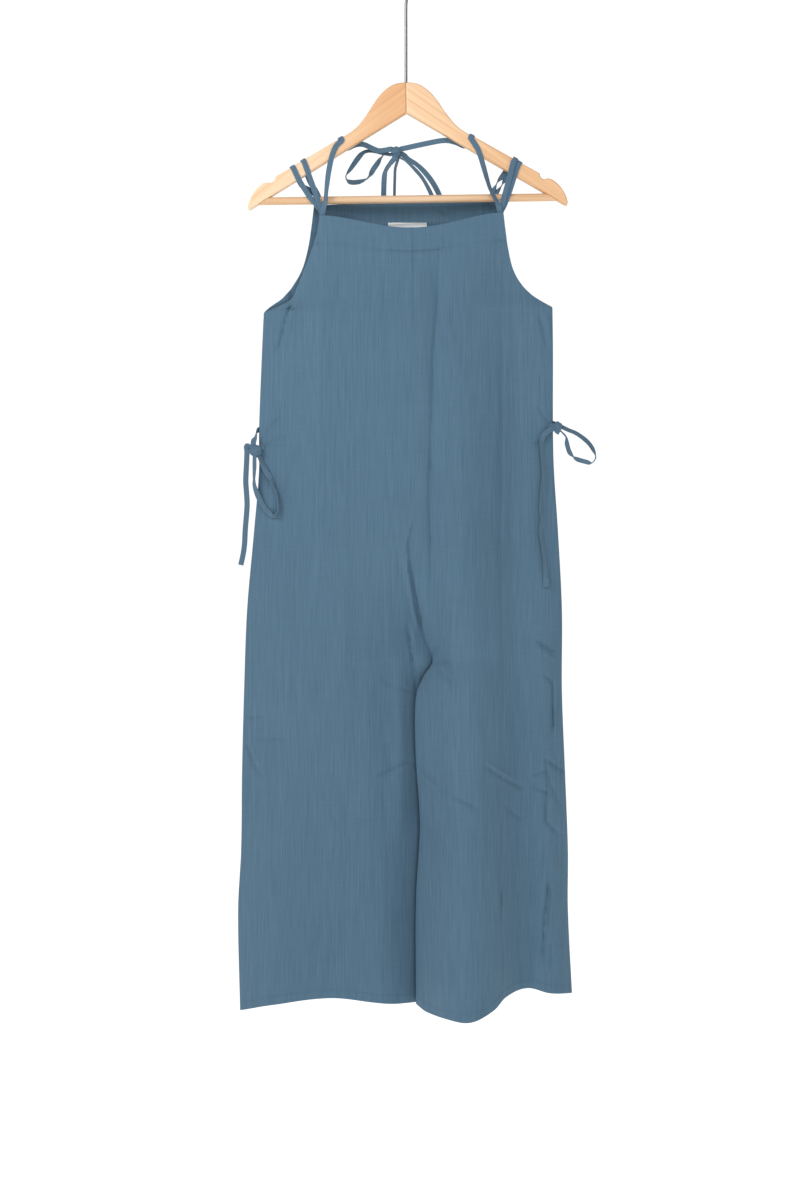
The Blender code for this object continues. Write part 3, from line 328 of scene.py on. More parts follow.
def hollow_y(face, leg, x, z):
    """Y of the cloth's inner side, with the largest folds alone."""
    x = np.asarray(x, float)
    z = np.asarray(z, float)
    right_edge = outer_edge_x(face, RIGHT, z)
    left_edge = outer_edge_x(face, LEFT, z)
    middle = (right_edge + left_edge) / 2.0
    across_torso = np.minimum(np.abs(x - middle) / ((left_edge - right_edge) / 2.0), 1.0)
    across_leg = np.abs(towards_inner(face, leg, x, z))
    parted = soft_share(LEGS_PART_Z, CROTCH_Z, z)
    roundness = (1.0 - parted) * (1.0 - across_torso ** ROUNDNESS) + parted * (1.0 - across_leg ** ROUNDNESS)
    hold = (1.0 - parted) * (1.0 - across_torso ** HOLD) + parted * (1.0 - across_leg ** HOLD)
    rise = 0.0
    for fold in FOLDS[face]:
        share = np.clip((z - fold.z_top) / (fold.z_low - fold.z_top), 0.0, 1.0)
        centre = fold.x_top + (fold.x_low - fold.x_top) * share
        height = fold.rise_top + (fold.rise_low - fold.rise_top) * share
        ends = soft_share(0.0, FOLD_FADE, share) * (1.0 - soft_share(1.0 - FOLD_FADE, 1.0, share))
        rise = rise + height * ends * np.exp(-0.5 * ((x - centre) / fold.width) ** 2)
    hollow = read_table(DEPTHS, "z", FACES[face], z) * roundness + rise * hold
    opening = ARMHOLE_OPENING * soft_share(UNDERARM_Z[leg], CORNER_Z[face][leg], z)
    return hollow_plane(leg, x, z) + face * (SEAM_GAP / 2.0 + opening + np.maximum(hollow, 0.0))


def cloth_y(face, leg, x, z):
    """Y of the cloth's outer side, a wall's thickness off the inner side along its slope."""
    reach = SLOPE_REACH
    slope_x = (hollow_y(face, leg, x + reach, z) - hollow_y(face, leg, x - reach, z)) / (2.0 * reach)
    slope_z = (hollow_y(face, leg, x, z + reach) - hollow_y(face, leg, x, z - reach)) / (2.0 * reach)
    stretch = np.sqrt(1.0 + slope_x ** 2 + slope_z ** 2)
    return hollow_y(face, leg, x, z) + face * CAD_CLOTH * np.minimum(stretch, MOST_STRETCH)


def neckline_z(face, x):
    """Height of the top edge of the front or the back."""
    right_x = ARMHOLES[face, RIGHT][0]
    left_x = ARMHOLES[face, LEFT][0]
    share = np.clip((x - right_x) / (left_x - right_x), 0.0, 1.0)
    straight = CORNER_Z[face][RIGHT] + (CORNER_Z[face][LEFT] - CORNER_Z[face][RIGHT]) * share
    return straight + NECK_BOW[face] * np.sin(math.pi * share) ** NECK_CURVE


def hem_z(face, leg, x):
    """Height of the hem's edge."""
    return read_table(HEM[leg], "x", FACES[face], x)


def panel_places(face, leg, across, down):
    """X and Z of a panel's points: across from its outer to its centre edge, and down from the
    neckline at 0 past the underarm at 1 to the hem at 2."""
    top = CORNER_Z[face][leg]
    centre_top = neckline_z(face, centre_edge_x(leg, top))
    drop = np.minimum(down, 1.0)
    body = np.maximum(down - 1.0, 0.0)
    z_outer = top + (UNDERARM_Z[leg] - top) * drop + (HEM_SIDE_Z[leg] - UNDERARM_Z[leg]) * body
    z_centre = centre_top + (CENTRE_UNDERARM_Z - centre_top) * drop
    z_centre = z_centre + (HEM_CENTRE_Z - CENTRE_UNDERARM_Z) * body
    x_outer = outer_edge_x(face, leg, z_outer)
    x_centre = centre_edge_x(leg, z_centre) - leg * SEAM_LAP
    x = x_outer + (x_centre - x_outer) * across
    z = z_outer + (z_centre - z_outer) * across
    x_top = ARMHOLES[face, leg][0] + (centre_edge_x(leg, top) - ARMHOLES[face, leg][0]) * across
    straight = top + (centre_top - top) * across
    z = z + (1.0 - drop) * (neckline_z(face, x_top) - straight)
    hem_straight = HEM_SIDE_Z[leg] + (HEM_CENTRE_Z - HEM_SIDE_Z[leg]) * across
    hem_bend = hem_z(face, leg, x) - hem_straight
    return x, z + soft_share(HEM_BEND_Z, HEM_CENTRE_Z, z_centre) * hem_bend


# The cloth's small forms: creases from hanging and handling, the turned hem, the facing
# pressed inside the neckline, and the seams, which pull the cloth in by less than a millimetre.
# Each crease runs through its points, and rises off the cloth or sinks into it by its rise.
Crease = namedtuple("Crease", "width rise points")
CREASES = {
    FRONT: [
        Crease(0.0028, -0.0027, (
            (0.0474, -0.3894), (0.0446, -0.4787), (0.0377, -0.5624), (0.0349, -0.6740),
            (0.0335, -0.7577), (0.0349, -0.8414), (0.0377, -0.9600),
        )),
        Crease(0.0070, 0.0015, (
            (0.0600, -0.4089), (0.0572, -0.5205), (0.0502, -0.6461), (0.0474, -0.7577),
            (0.0488, -0.8972),
        )),
        Crease(0.0026, -0.0023, (
            (0.1353, -0.4368), (0.1325, -0.6182), (0.1311, -0.8414), (0.1325, -1.0367),
            (0.1283, -1.1762), (0.1242, -1.3994),
        )),
        Crease(0.0022, 0.0021, ((0.1395, -1.1483), (0.1353, -1.2599), (0.1311, -1.3994))),
        Crease(0.0021, -0.0024, (
            (0.1325, -1.1400), (0.1302, -1.2100), (0.1290, -1.2800), (0.1316, -1.3500),
            (0.1300, -1.4050),
        )),
        Crease(0.0020, 0.0016, ((0.0460, -0.3940), (0.0490, -0.3985), (0.0500, -0.4070))),
        Crease(0.0050, 0.0009, ((-0.1172, -0.3741), (-0.1186, -0.6182), (-0.1172, -0.9251))),
        Crease(0.0060, 0.0008, ((-0.0851, -0.7158), (-0.0837, -0.8972), (-0.0851, -1.0506))),
        Crease(0.0080, 0.0008, ((-0.0572, -0.7856), (-0.0530, -1.0367), (-0.0474, -1.2878))),
        Crease(0.0070, -0.0008, ((-0.1479, -0.9530), (-0.1535, -1.1762), (-0.1590, -1.4273))),
        Crease(0.0090, 0.0009, ((-0.0990, -1.1204), (-0.0949, -1.2878), (-0.0921, -1.4412))),
        Crease(0.0024, -0.0034, (
            (-0.1590, -0.4730), (-0.1626, -0.4890), (-0.1674, -0.5066), (-0.1716, -0.5275),
            (-0.1827, -0.5596),
        )),
        Crease(0.0030, 0.0019, ((-0.1535, -0.4787), (-0.1604, -0.5066), (-0.1660, -0.5345))),
        Crease(0.0022, -0.0022, ((-0.2051, -0.6824), (-0.1925, -0.6601), (-0.1688, -0.6363))),
        Crease(0.0022, -0.0022, ((-0.2037, -0.6852), (-0.1827, -0.6754), (-0.1590, -0.6684))),
        Crease(0.0022, 0.0017, ((-0.2023, -0.6893), (-0.1869, -0.6852), (-0.1646, -0.6866))),
        Crease(0.0020, -0.0017, ((-0.2009, -0.7019), (-0.1925, -0.7228), (-0.1883, -0.7507))),
        Crease(0.0024, -0.0023, ((0.1841, -0.4968), (0.1911, -0.5178), (0.1967, -0.5484))),
        Crease(0.0028, 0.0017, ((0.1939, -0.4954), (0.1995, -0.5150), (0.2023, -0.5415))),
        Crease(0.0020, -0.0019, ((0.2051, -0.6628), (0.1939, -0.6740), (0.1758, -0.6824))),
        Crease(0.0020, -0.0017, ((0.2023, -0.6531), (0.1911, -0.6391), (0.1813, -0.6210))),
        Crease(0.0018, -0.0029, ((-0.2246, -1.0590), (-0.2134, -1.0604), (-0.1981, -1.0576))),
        Crease(0.0020, -0.0018, ((-0.2232, -1.0855), (-0.1953, -1.0897), (-0.1590, -1.0869))),
        Crease(0.0024, -0.0032, (
            (-0.2246, -1.0911), (-0.2176, -1.1092), (-0.2120, -1.1246), (-0.1981, -1.1455),
        )),
        Crease(0.0022, 0.0021, ((-0.2190, -1.0939), (-0.2092, -1.1120), (-0.2009, -1.1316))),
        Crease(0.0022, -0.0029, (
            (0.0126, -1.1176), (-0.0028, -1.1246), (-0.0153, -1.1302), (-0.0432, -1.1427),
        )),
        Crease(0.0024, 0.0021, ((0.0112, -1.1274), (-0.0042, -1.1357), (-0.0223, -1.1455))),
        Crease(0.0020, -0.0021, ((-0.0377, -1.0060), (-0.0153, -1.0172), (0.0126, -1.0255))),
        Crease(0.0022, -0.0029, (
            (0.0167, -1.1316), (0.0474, -1.1553), (0.0753, -1.1706), (0.1060, -1.1846),
        )),
        Crease(0.0024, 0.0021, ((0.0195, -1.1441), (0.0474, -1.1664), (0.0725, -1.1790))),
        Crease(0.0020, -0.0032, (
            (0.1004, -1.1176), (0.1172, -1.1316), (0.1339, -1.1427), (0.1702, -1.1636),
        )),
        Crease(0.0020, 0.0024, ((0.1088, -1.1162), (0.1283, -1.1316), (0.1521, -1.1455))),
        Crease(0.0020, -0.0027, ((0.1339, -1.1762), (0.1465, -1.1902), (0.1618, -1.2041))),
        Crease(0.0020, -0.0036, ((0.1772, -0.9502), (0.1939, -0.9628), (0.2106, -0.9711))),
        Crease(0.0020, 0.0027, ((0.1800, -0.9600), (0.1953, -0.9711), (0.2092, -0.9809))),
        Crease(0.0022, -0.0039, (
            (0.1813, -0.9976), (0.1967, -1.0046), (0.2037, -1.0144), (0.2037, -1.0534),
            (0.2037, -1.0925),
        )),
        Crease(0.0022, -0.0039, ((0.1897, -1.1162), (0.2079, -1.1288), (0.2246, -1.1399))),
        Crease(0.0020, -0.0027, ((0.1702, -1.1539), (0.1869, -1.1609), (0.2037, -1.1664))),
        Crease(0.0024, -0.0036, (
            (0.1967, -1.1316), (0.1939, -1.1692), (0.1939, -1.2041), (0.2065, -1.2167),
            (0.2204, -1.2292),
        )),
        Crease(0.0026, -0.0036, (
            (0.1995, -1.2683), (0.1953, -1.3157), (0.1911, -1.3576), (0.1883, -1.4106),
        )),
        Crease(0.0026, 0.0029, ((0.2092, -1.0367), (0.2106, -1.0925), (0.2134, -1.1204))),
        Crease(0.0028, 0.0032, ((0.2051, -1.2460), (0.2023, -1.3017), (0.1995, -1.3715))),
        Crease(0.0022, -0.0030, (
            (0.1915, -1.1100), (0.1957, -1.1350), (0.1999, -1.1510), (0.2085, -1.1702),
            (0.2172, -1.1942),
        )),
        Crease(0.0026, 0.0022, ((0.1890, -1.1380), (0.1950, -1.1600), (0.2040, -1.1800))),
        Crease(0.0020, -0.0024, ((0.1740, -1.1400), (0.1850, -1.1370), (0.1980, -1.1345))),
        Crease(0.0022, -0.0024, ((0.2115, -1.2150), (0.2090, -1.2400), (0.2125, -1.2700))),
        Crease(0.0022, -0.0020, ((0.1900, -1.2250), (0.1872, -1.2566), (0.1860, -1.2900))),
        Crease(0.0020, -0.0020, ((0.2000, -1.3680), (0.2021, -1.3910), (0.1995, -1.4100))),
        Crease(0.0022, -0.0030, (
            (0.0090, -1.1260), (0.0245, -1.1350), (0.0437, -1.1478), (0.0660, -1.1570),
        )),
        Crease(0.0026, 0.0018, ((0.0130, -1.1370), (0.0260, -1.1440), (0.0440, -1.1560))),
        Crease(0.0020, -0.0020, ((0.0150, -1.2070), (0.0341, -1.2134), (0.0510, -1.2150))),
        Crease(0.0020, -0.0018, ((0.0190, -1.2230), (0.0310, -1.2438), (0.0345, -1.2750))),
        Crease(0.0020, -0.0016, ((-0.1020, -1.1890), (-0.0975, -1.2000), (-0.0930, -1.2120))),
        Crease(0.0030, -0.0009, ((-0.0840, -1.2000), (-0.0299, -1.1974), (0.0080, -1.1974))),
        Crease(0.0040, -0.0004, ((-0.0851, -0.6963), (0.0056, -0.6949), (0.0963, -0.6963))),
        Crease(0.0030, -0.0005, ((-0.1255, -0.7284), (-0.1032, -0.7298), (-0.0781, -0.7284))),
        Crease(0.0040, -0.0004, ((0.0418, -0.9823), (0.0893, -0.9809), (0.1367, -0.9823))),
        Crease(0.0030, 0.0006, ((-0.1479, -0.8414), (-0.0921, -0.8442), (-0.0432, -0.8414))),
        Crease(0.0020, -0.0032, ((0.0363, -0.9865), (0.0488, -0.9823), (0.0642, -0.9837))),
        Crease(0.0020, -0.0029, ((0.0377, -0.9921), (0.0502, -0.9990), (0.0642, -1.0144))),
        Crease(0.0020, -0.0027, ((0.0335, -0.9739), (0.0474, -0.9614), (0.0558, -0.9418))),
        Crease(0.0022, 0.0027, ((0.0349, -0.9976), (0.0418, -1.0116), (0.0488, -1.0367))),
        Crease(0.0020, -0.0028, (
            (0.0028, -0.8288), (0.0070, -0.8623), (0.0153, -0.9112), (0.0237, -0.9460),
        )),
        Crease(0.0024, 0.0028, (
            (-0.0028, -0.8247), (0.0028, -0.8623), (0.0112, -0.9112), (0.0195, -0.9474),
        )),
        Crease(0.0050, -0.0011, (
            (0.0474, -1.0646), (0.0530, -1.1762), (0.0572, -1.3157), (0.0558, -1.4273),
        )),
        Crease(0.0060, 0.0011, ((0.1004, -1.0367), (0.1032, -1.2041), (0.1060, -1.3994))),
        Crease(0.0022, 0.0034, (
            (0.0084, -0.7842), (0.0028, -0.8037), (0.0000, -0.8261), (0.0028, -0.8484),
        )),
        Crease(0.0026, -0.0041, (
            (0.0014, -0.9223), (0.0056, -0.9530), (0.0098, -0.9823), (0.0133, -1.0116),
            (0.0140, -1.0395),
        )),
        Crease(0.0110, 0.0050, (
            (-0.0112, -0.9530), (-0.0070, -1.0228), (-0.0056, -1.1204), (-0.0084, -1.2460),
        )),
    ],
    BACK: [
        Crease(0.0024, 0.0018, ((0.0380, -0.3480), (0.0500, -0.3555), (0.0610, -0.3625))),
        Crease(0.0040, -0.0018, (
            (-0.0500, -0.4100), (-0.0520, -0.6000), (-0.0540, -0.8000), (-0.0530, -0.9600),
        )),
        Crease(0.0070, 0.0014, ((-0.0700, -0.4200), (-0.0740, -0.6200), (-0.0760, -0.8800))),
        Crease(0.0040, -0.0019, (
            (0.1080, -0.4300), (0.1090, -0.7000), (0.1120, -1.0000), (0.1130, -1.3800),
        )),
        Crease(0.0060, 0.0011, ((0.1190, -0.9200), (0.1210, -1.1200), (0.1200, -1.3600))),
        Crease(0.0060, 0.0009, ((0.0450, -0.3900), (0.0460, -0.6500), (0.0440, -0.9000))),
        Crease(0.0080, -0.0009, ((-0.1300, -0.7600), (-0.1340, -1.0500), (-0.1350, -1.3500))),
        Crease(0.0070, 0.0009, ((-0.1480, -0.8200), (-0.1520, -1.0800), (-0.1540, -1.3200))),
        Crease(0.0038, -0.0024, (
            (-0.1720, -0.4450), (-0.1640, -0.4850), (-0.1550, -0.5350), (-0.1500, -0.5700),
        )),
        Crease(0.0045, 0.0017, ((-0.1640, -0.4500), (-0.1550, -0.4950), (-0.1470, -0.5400))),
        Crease(0.0038, -0.0024, (
            (0.1740, -0.4400), (0.1650, -0.4800), (0.1560, -0.5250), (0.1520, -0.5600),
        )),
        Crease(0.0045, 0.0017, ((0.1650, -0.4450), (0.1570, -0.4850), (0.1490, -0.5300))),
        Crease(0.0032, -0.0020, (
            (-0.2000, -0.6660), (-0.1850, -0.6500), (-0.1650, -0.6330), (-0.1450, -0.6230),
        )),
        Crease(0.0032, -0.0020, ((-0.2000, -0.6680), (-0.1800, -0.6720), (-0.1560, -0.6790))),
        Crease(0.0040, 0.0016, ((-0.1960, -0.6620), (-0.1780, -0.6590), (-0.1560, -0.6560))),
        Crease(0.0032, -0.0020, (
            (0.2000, -0.6450), (0.1840, -0.6310), (0.1640, -0.6170), (0.1450, -0.6090),
        )),
        Crease(0.0036, 0.0017, ((0.2000, -0.6480), (0.1820, -0.6500), (0.1560, -0.6590))),
        Crease(0.0036, -0.0021, (
            (-0.2240, -1.0380), (-0.1980, -1.0560), (-0.1740, -1.0740), (-0.1500, -1.0830),
        )),
        Crease(0.0042, 0.0016, ((-0.2180, -1.0480), (-0.1950, -1.0650), (-0.1700, -1.0820))),
        Crease(0.0036, -0.0021, (
            (0.0160, -1.1220), (0.0450, -1.1460), (0.0760, -1.1680), (0.1050, -1.1800),
        )),
        Crease(0.0042, 0.0016, ((0.0240, -1.1360), (0.0500, -1.1580), (0.0800, -1.1780))),
        Crease(0.0034, -0.0022, ((0.1660, -0.9500), (0.1880, -0.9640), (0.2100, -0.9860))),
        Crease(0.0036, -0.0024, (
            (0.1970, -1.1000), (0.1945, -1.1500), (0.1990, -1.1950), (0.2150, -1.2250),
        )),
        Crease(0.0044, 0.0018, ((0.2060, -1.1000), (0.2040, -1.1500), (0.2090, -1.1900))),
        Crease(0.0034, -0.0020, (
            (0.0020, -1.0830), (-0.0280, -1.1020), (-0.0560, -1.1170), (-0.0800, -1.1230),
        )),
        Crease(0.0032, -0.0020, ((0.0330, -0.9720), (0.0180, -0.9600), (-0.0060, -0.9520))),
        Crease(0.0032, 0.0018, ((0.0340, -0.9790), (0.0150, -0.9830), (-0.0100, -0.9980))),
        Crease(0.0040, -0.0004, ((-0.1200, -0.7200), (0.0000, -0.7180), (0.1100, -0.7220))),
    ],
}


CREASE_FADE = 0.22


def crease_rise(crease, x, z):
    """How far one crease lifts or sinks the cloth, fading out towards both of its ends."""
    points = np.array(crease.points)
    lengths = np.hypot(*np.diff(points, axis=0).T)
    total = lengths.sum()
    nearest = np.full(x.shape, np.inf)
    place = np.zeros(x.shape)
    done = 0.0
    for start, end, length in zip(points, points[1:], lengths):
        step = (end - start) / length
        along = np.clip((x - start[0]) * step[0] + (z - start[1]) * step[1], 0.0, length)
        away = np.hypot(x - start[0] - step[0] * along, z - start[1] - step[1] * along)
        closer = away < nearest
        nearest = np.where(closer, away, nearest)
        place = np.where(closer, (done + along) / total, place)
        done += length
    fade = soft_share(0.0, CREASE_FADE, place) * (1.0 - soft_share(1.0 - CREASE_FADE, 1.0, place))
    return crease.rise * fade * np.exp(-((nearest / crease.width) ** 2))


HEM_BAND = 0.0120
HEM_LIFT = 0.0005
HEM_EASE = (0.0004, 0.0012)
HEM_GROOVE = 0.0004
HEM_GROOVE_WIDTH = 0.0009
FACING_DEPTH = 0.0385
FACING_BOW = 0.0060
FACING_START_X = -0.1200
FACING_WIDTH = 0.2550
FACING_LIFT = 0.0003
FACING_EASE = (0.0010, 0.0030)
FACING_GROOVE = 0.0020
FACING_GROOVE_WIDTH = 0.0018
CROTCH_FLAP = 0.0085
CROTCH_FLAP_X = 0.0310
CROTCH_FLAP_DROP = 0.0060
CROTCH_FLAP_WIDTH = 0.0190
CROTCH_FLAP_HEIGHT = 0.0300
UNDULATIONS = 14
shuffled = np.random.default_rng(11)
ripple_x = shuffled.uniform(18.0, 75.0, UNDULATIONS)
ripple_z = shuffled.uniform(1.0, 14.0, UNDULATIONS)
ripple_phase = shuffled.uniform(0.0, 2.0 * math.pi, UNDULATIONS)
ripple_rise = shuffled.uniform(0.00003, 0.00011, UNDULATIONS)


def small_forms(face, leg, x, z):
    """How far creases, ripples, the turned hem and the neck facing lift the cloth."""
    rise = np.zeros(np.shape(x))
    for crease in CREASES[face]:
        rise = rise + crease_rise(crease, x, z)
    for wave_x, wave_z, phase, height in zip(ripple_x, ripple_z, ripple_phase, ripple_rise):
        rise = rise + height * np.sin(wave_x * x + wave_z * z + phase + 2.0 * face)
    across = (x - CROTCH_FLAP_X) / CROTCH_FLAP_WIDTH
    down = (z - CROTCH_Z + CROTCH_FLAP_DROP) / CROTCH_FLAP_HEIGHT
    rise = rise + CROTCH_FLAP * np.exp(-(across ** 2 + down ** 2))
    above_hem = z - hem_z(face, leg, x)
    rise = rise + HEM_LIFT * (1.0 - soft_share(HEM_BAND - HEM_EASE[0], HEM_BAND + HEM_EASE[1], above_hem))
    rise = rise - HEM_GROOVE * np.exp(-(((above_hem - HEM_BAND) / HEM_GROOVE_WIDTH) ** 2))
    below_neck = neckline_z(face, x) - z
    share = np.clip((x - FACING_START_X) / FACING_WIDTH, 0.0, 1.0)
    facing = FACING_DEPTH - FACING_BOW * np.sin(share * math.pi)
    rise = rise - FACING_GROOVE * np.exp(-(((below_neck - facing) / FACING_GROOVE_WIDTH) ** 2))
    faced = 1.0 - soft_share(facing - FACING_EASE[0], facing + FACING_EASE[1], below_neck)
    return rise + FACING_LIFT * faced


def worn_y(face, leg, x, z):
    """Y of the cloth's outer side with all its forms, which is what lies on it rests on."""
    return cloth_y(face, leg, x, z) + face * small_forms(face, leg, x, z)


# The cloth: a light plain weave of slate blue whose yarns swell here and there into slubs, so
# it looks finely streaked from top to bottom, dry and quite matt. Its real threads are too fine
# to show, so they are drawn 1.1 mm apart, about three times as coarse.
SLUB = 0.0013
SLUB_LENGTH = 0.055
SLUBS_PER_METRE = (1.0 / SLUB, 60.0, 1.0 / SLUB_LENGTH)
THREADS_PER_METRE = (22.0, 40.0, 900.0)
SHARES_OF_TONE = {"threads": 0.14, "slubs": 0.70, "clouds": 0.16}


def fine_lines(tree, per_metre, slope=0.0, **noise):
    """Values that vary in fine lines, so many to the metre along X, Y and Z, turned to a slope."""
    place = add_node(tree, "ShaderNodeTexCoord")
    turned = add_node(
        tree, "ShaderNodeMapping", {"Rotation": (0.0, math.radians(slope), 0.0)},
        {"Vector": place.outputs["Object"]},
    )
    lines = add_node(tree, "ShaderNodeMapping", {"Scale": per_metre}, {"Vector": turned.outputs["Vector"]})
    values = {"Scale": 1.0, "Detail": 2.0, **noise}
    return add_node(tree, "ShaderNodeTexNoise", values, {"Vector": lines.outputs["Vector"]}).outputs["Fac"]


def add_cloth_finish(name, dark, light, spread):
    """Woven slubbed cloth between two tones of one blue."""
    finish, tree, shader = new_finish(name, 0.86, Sheen_Weight=0.12, Sheen_Roughness=0.5)
    place = add_node(tree, "ShaderNodeTexCoord")
    slubs = fine_lines(tree, SLUBS_PER_METRE, Detail=3.0, Roughness=0.6)
    threads = fine_lines(tree, THREADS_PER_METRE)
    cloud = add_node(
        tree, "ShaderNodeTexNoise", {"Scale": 5.0, "Detail": 2.0}, {"Vector": place.outputs["Object"]}
    )
    first = add_node(
        tree, "ShaderNodeMath", {1: SHARES_OF_TONE["threads"]}, {0: threads}, operation="MULTIPLY"
    )
    second = add_node(
        tree, "ShaderNodeMath", {1: SHARES_OF_TONE["slubs"]}, {0: slubs, 2: first.outputs[0]},
        operation="MULTIPLY_ADD",
    )
    third = add_node(
        tree, "ShaderNodeMath", {1: SHARES_OF_TONE["clouds"]},
        {0: cloud.outputs["Fac"], 2: second.outputs[0]}, operation="MULTIPLY_ADD",
    )
    tone = add_node(tree, "ShaderNodeValToRGB", links={"Fac": third.outputs[0]})
    set_tones(tone, dark, light, 0.5 - spread, 0.5 + spread)
    tree.links.new(tone.outputs["Color"], shader.inputs["Base Color"])
    weave = add_node(
        tree, "ShaderNodeBump", {"Strength": 0.35, "Distance": 0.0003}, {"Height": second.outputs[0]}
    )
    tree.links.new(weave.outputs["Normal"], shader.inputs["Normal"])
    return finish


# The four panels of the jumpsuit, front and back of each side, each cut in one from neckline
# to hem and sewn to its neighbours at the side, the centre and the inside leg. The free edges
# of the neck, the armholes and the hems are turned in.
CLOTH = 0.0009
COLUMN_STEP = 0.0024
ROW_STEP = 0.0026
EDGE_STEPS = (0.0, 0.0003, 0.0007, 0.0013, 0.0021, 0.0032, 0.0046, 0.0062, 0.0080)
HEM_STEPS = (
    0.0, 0.0004, 0.0010, 0.0020, 0.0040, 0.0065, 0.0090, 0.0108, 0.0116, 0.0122, 0.0130, 0.0142, 0.0160,
)
SEAM_ROLL = 0.0022
FREE_ROLL = 0.0011
SEAM_DIP = 0.0004
FREE_DIP = 0.0004
SEWN_BLEND = 0.0040
CROTCH_BLEND = 0.0060
NOMINAL_WIDTH = 0.2150
YOKE_LENGTH = 0.1250
BODY_LENGTH = 0.9680
CLOTH_FINISH = add_cloth_finish("slate_blue_slubbed_plain_weave", "#426279", "#57778d", 0.22)


def spaced(length, near, far, step):
    """Shares of a length, close together near both its ends."""
    start, end = near[-1], length - far[-1]
    count = int(math.ceil((end - start) / step))
    between = start + (end - start) * np.arange(1, count) / count
    return np.concatenate([near, between, length - np.asarray(far[::-1])]) / length


def add_grid(name, columns, rows):
    """A flat grid of points, columns along X and rows along Y, active and alone selected."""
    bpy.ops.object.select_all(action="DESELECT")
    bpy.ops.mesh.primitive_grid_add(x_subdivisions=columns - 1, y_subdivisions=rows - 1, size=1.0)
    piece = bpy.context.active_object
    piece.name = name
    assert len(piece.data.vertices) == columns * rows
    return piece


def place_points(piece, places):
    """Put a grid's points in their places."""
    piece.data.vertices.foreach_set("co", np.asarray(places, float).ravel())
    piece.data.update()


def apply_change(piece, kind, **settings):
    """Add one modifier with its settings to the active piece and apply it."""
    change = piece.modifiers.new(kind.lower(), kind)
    for name, value in settings.items():
        setattr(change, name, value)
    bpy.ops.object.modifier_apply(modifier=change.name)


def round_edge(away, radius):
    """How far a rounded edge has fallen at a distance from it, from 1 at the edge to 0."""
    share = np.clip(away / radius, 0.0, 1.0)
    return 1.0 - np.sqrt(1.0 - (1.0 - share) ** 2)


def add_cloth_panel(name, face, leg):
    """One panel: a grid laid on its cut, hung, creased and given its thickness."""
    across = spaced(NOMINAL_WIDTH, EDGE_STEPS, EDGE_STEPS, COLUMN_STEP)
    downs = YOKE_LENGTH + BODY_LENGTH
    lengths = spaced(downs, EDGE_STEPS, HEM_STEPS, ROW_STEP) * downs
    down = np.where(lengths < YOKE_LENGTH, lengths / YOKE_LENGTH, 1.0 + (lengths - YOKE_LENGTH) / BODY_LENGTH)
    piece = add_grid(name, len(across), len(down))
    across, down = np.meshgrid(across, down)
    x, z = panel_places(face, leg, across, down)
    y = worn_y(face, leg, x, z)
    width = np.abs(outer_edge_x(face, leg, z) - centre_edge_x(leg, z))
    sewn = 1.0 - soft_share(UNDERARM_Z[leg] - SEWN_BLEND, UNDERARM_Z[leg] + SEWN_BLEND, z)
    legs = soft_share(CROTCH_Z + CROTCH_BLEND, CROTCH_Z - CROTCH_BLEND, z)
    whole = np.abs(y - hollow_plane(leg, x, z))
    dip = SEAM_DIP * (1.0 - legs) + whole * legs
    fall = round_edge(across * width, FREE_ROLL) * FREE_DIP * (1.0 - sewn)
    fall = fall + round_edge(across * width, SEAM_ROLL) * whole * sewn
    fall = fall + round_edge((1.0 - across) * width, SEAM_ROLL) * np.minimum(dip, whole)
    fall = fall + FREE_DIP * round_edge(down * YOKE_LENGTH, FREE_ROLL)
    fall = fall + FREE_DIP * round_edge((2.0 - down) * BODY_LENGTH, FREE_ROLL)
    place_points(piece, np.stack([x, y - face * np.minimum(fall, whole), z], axis=-1))
    if piece.data.polygons[len(piece.data.polygons) // 2].normal.y * face < 0.0:
        piece.data.flip_normals()
    apply_change(piece, "SOLIDIFY", thickness=CLOTH, offset=-1.0)
    bpy.ops.object.shade_smooth_by_angle(angle=math.radians(60.0))
    piece.data.materials.append(CLOTH_FINISH)
    return piece


Cut = namedtuple("Cut", "node face leg width length area held_by")
CUTS = [
    Cut("front_right_panel", FRONT, RIGHT, 0.262, 1.130, 0.2586, ("strap_right_outer", "strap_right_inner")),
    Cut("front_left_panel", FRONT, LEFT, 0.248, 1.130, 0.2408, ("strap_left_outer", "strap_left_inner")),
    Cut("back_right_panel", BACK, RIGHT, 0.262, 1.130, 0.2664, ("strap_right_outer", "strap_right_inner")),
    Cut("back_left_panel", BACK, LEFT, 0.248, 1.130, 0.2293, ("strap_left_outer", "strap_left_inner")),
]
for cut in CUTS:
    panel = add_cloth_panel(cut.node.replace("panel", "cloth"), cut.face, cut.leg)
    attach(panel, "root")
    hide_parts(cut.node)


# The neck label: a blank woven satin ribbon, sewn flat inside the back neck. Its white yarns
# run across it and shine a little more than the cloth. They are drawn 0.6 mm apart, because
# finer ones don't show.
LABEL_X = (-0.0251, 0.0293)
LABEL_Z = (-0.3676, -0.3946)
LABEL_THICK = 0.0005
LABEL_EDGE = 0.0003
LABEL_COLUMNS = 37
LABEL_ROWS = 19
YARNS_PER_METRE = (60.0, 60.0, 1800.0)
label = add_grid("neck_label_ribbon", LABEL_COLUMNS, LABEL_ROWS)
label_x, label_z = np.meshgrid(np.linspace(*LABEL_X, LABEL_COLUMNS), np.linspace(*LABEL_Z, LABEL_ROWS))
cloth_behind = np.where(
    label_x < centre_edge_x(RIGHT, label_z),
    worn_y(BACK, RIGHT, label_x, label_z),
    worn_y(BACK, LEFT, label_x, label_z),
)
place_points(label, np.stack([label_x, cloth_behind - CLOTH - 2.0 * LABEL_EDGE, label_z], axis=-1))
if label.data.polygons[0].normal.y > 0.0:
    label.data.flip_normals()
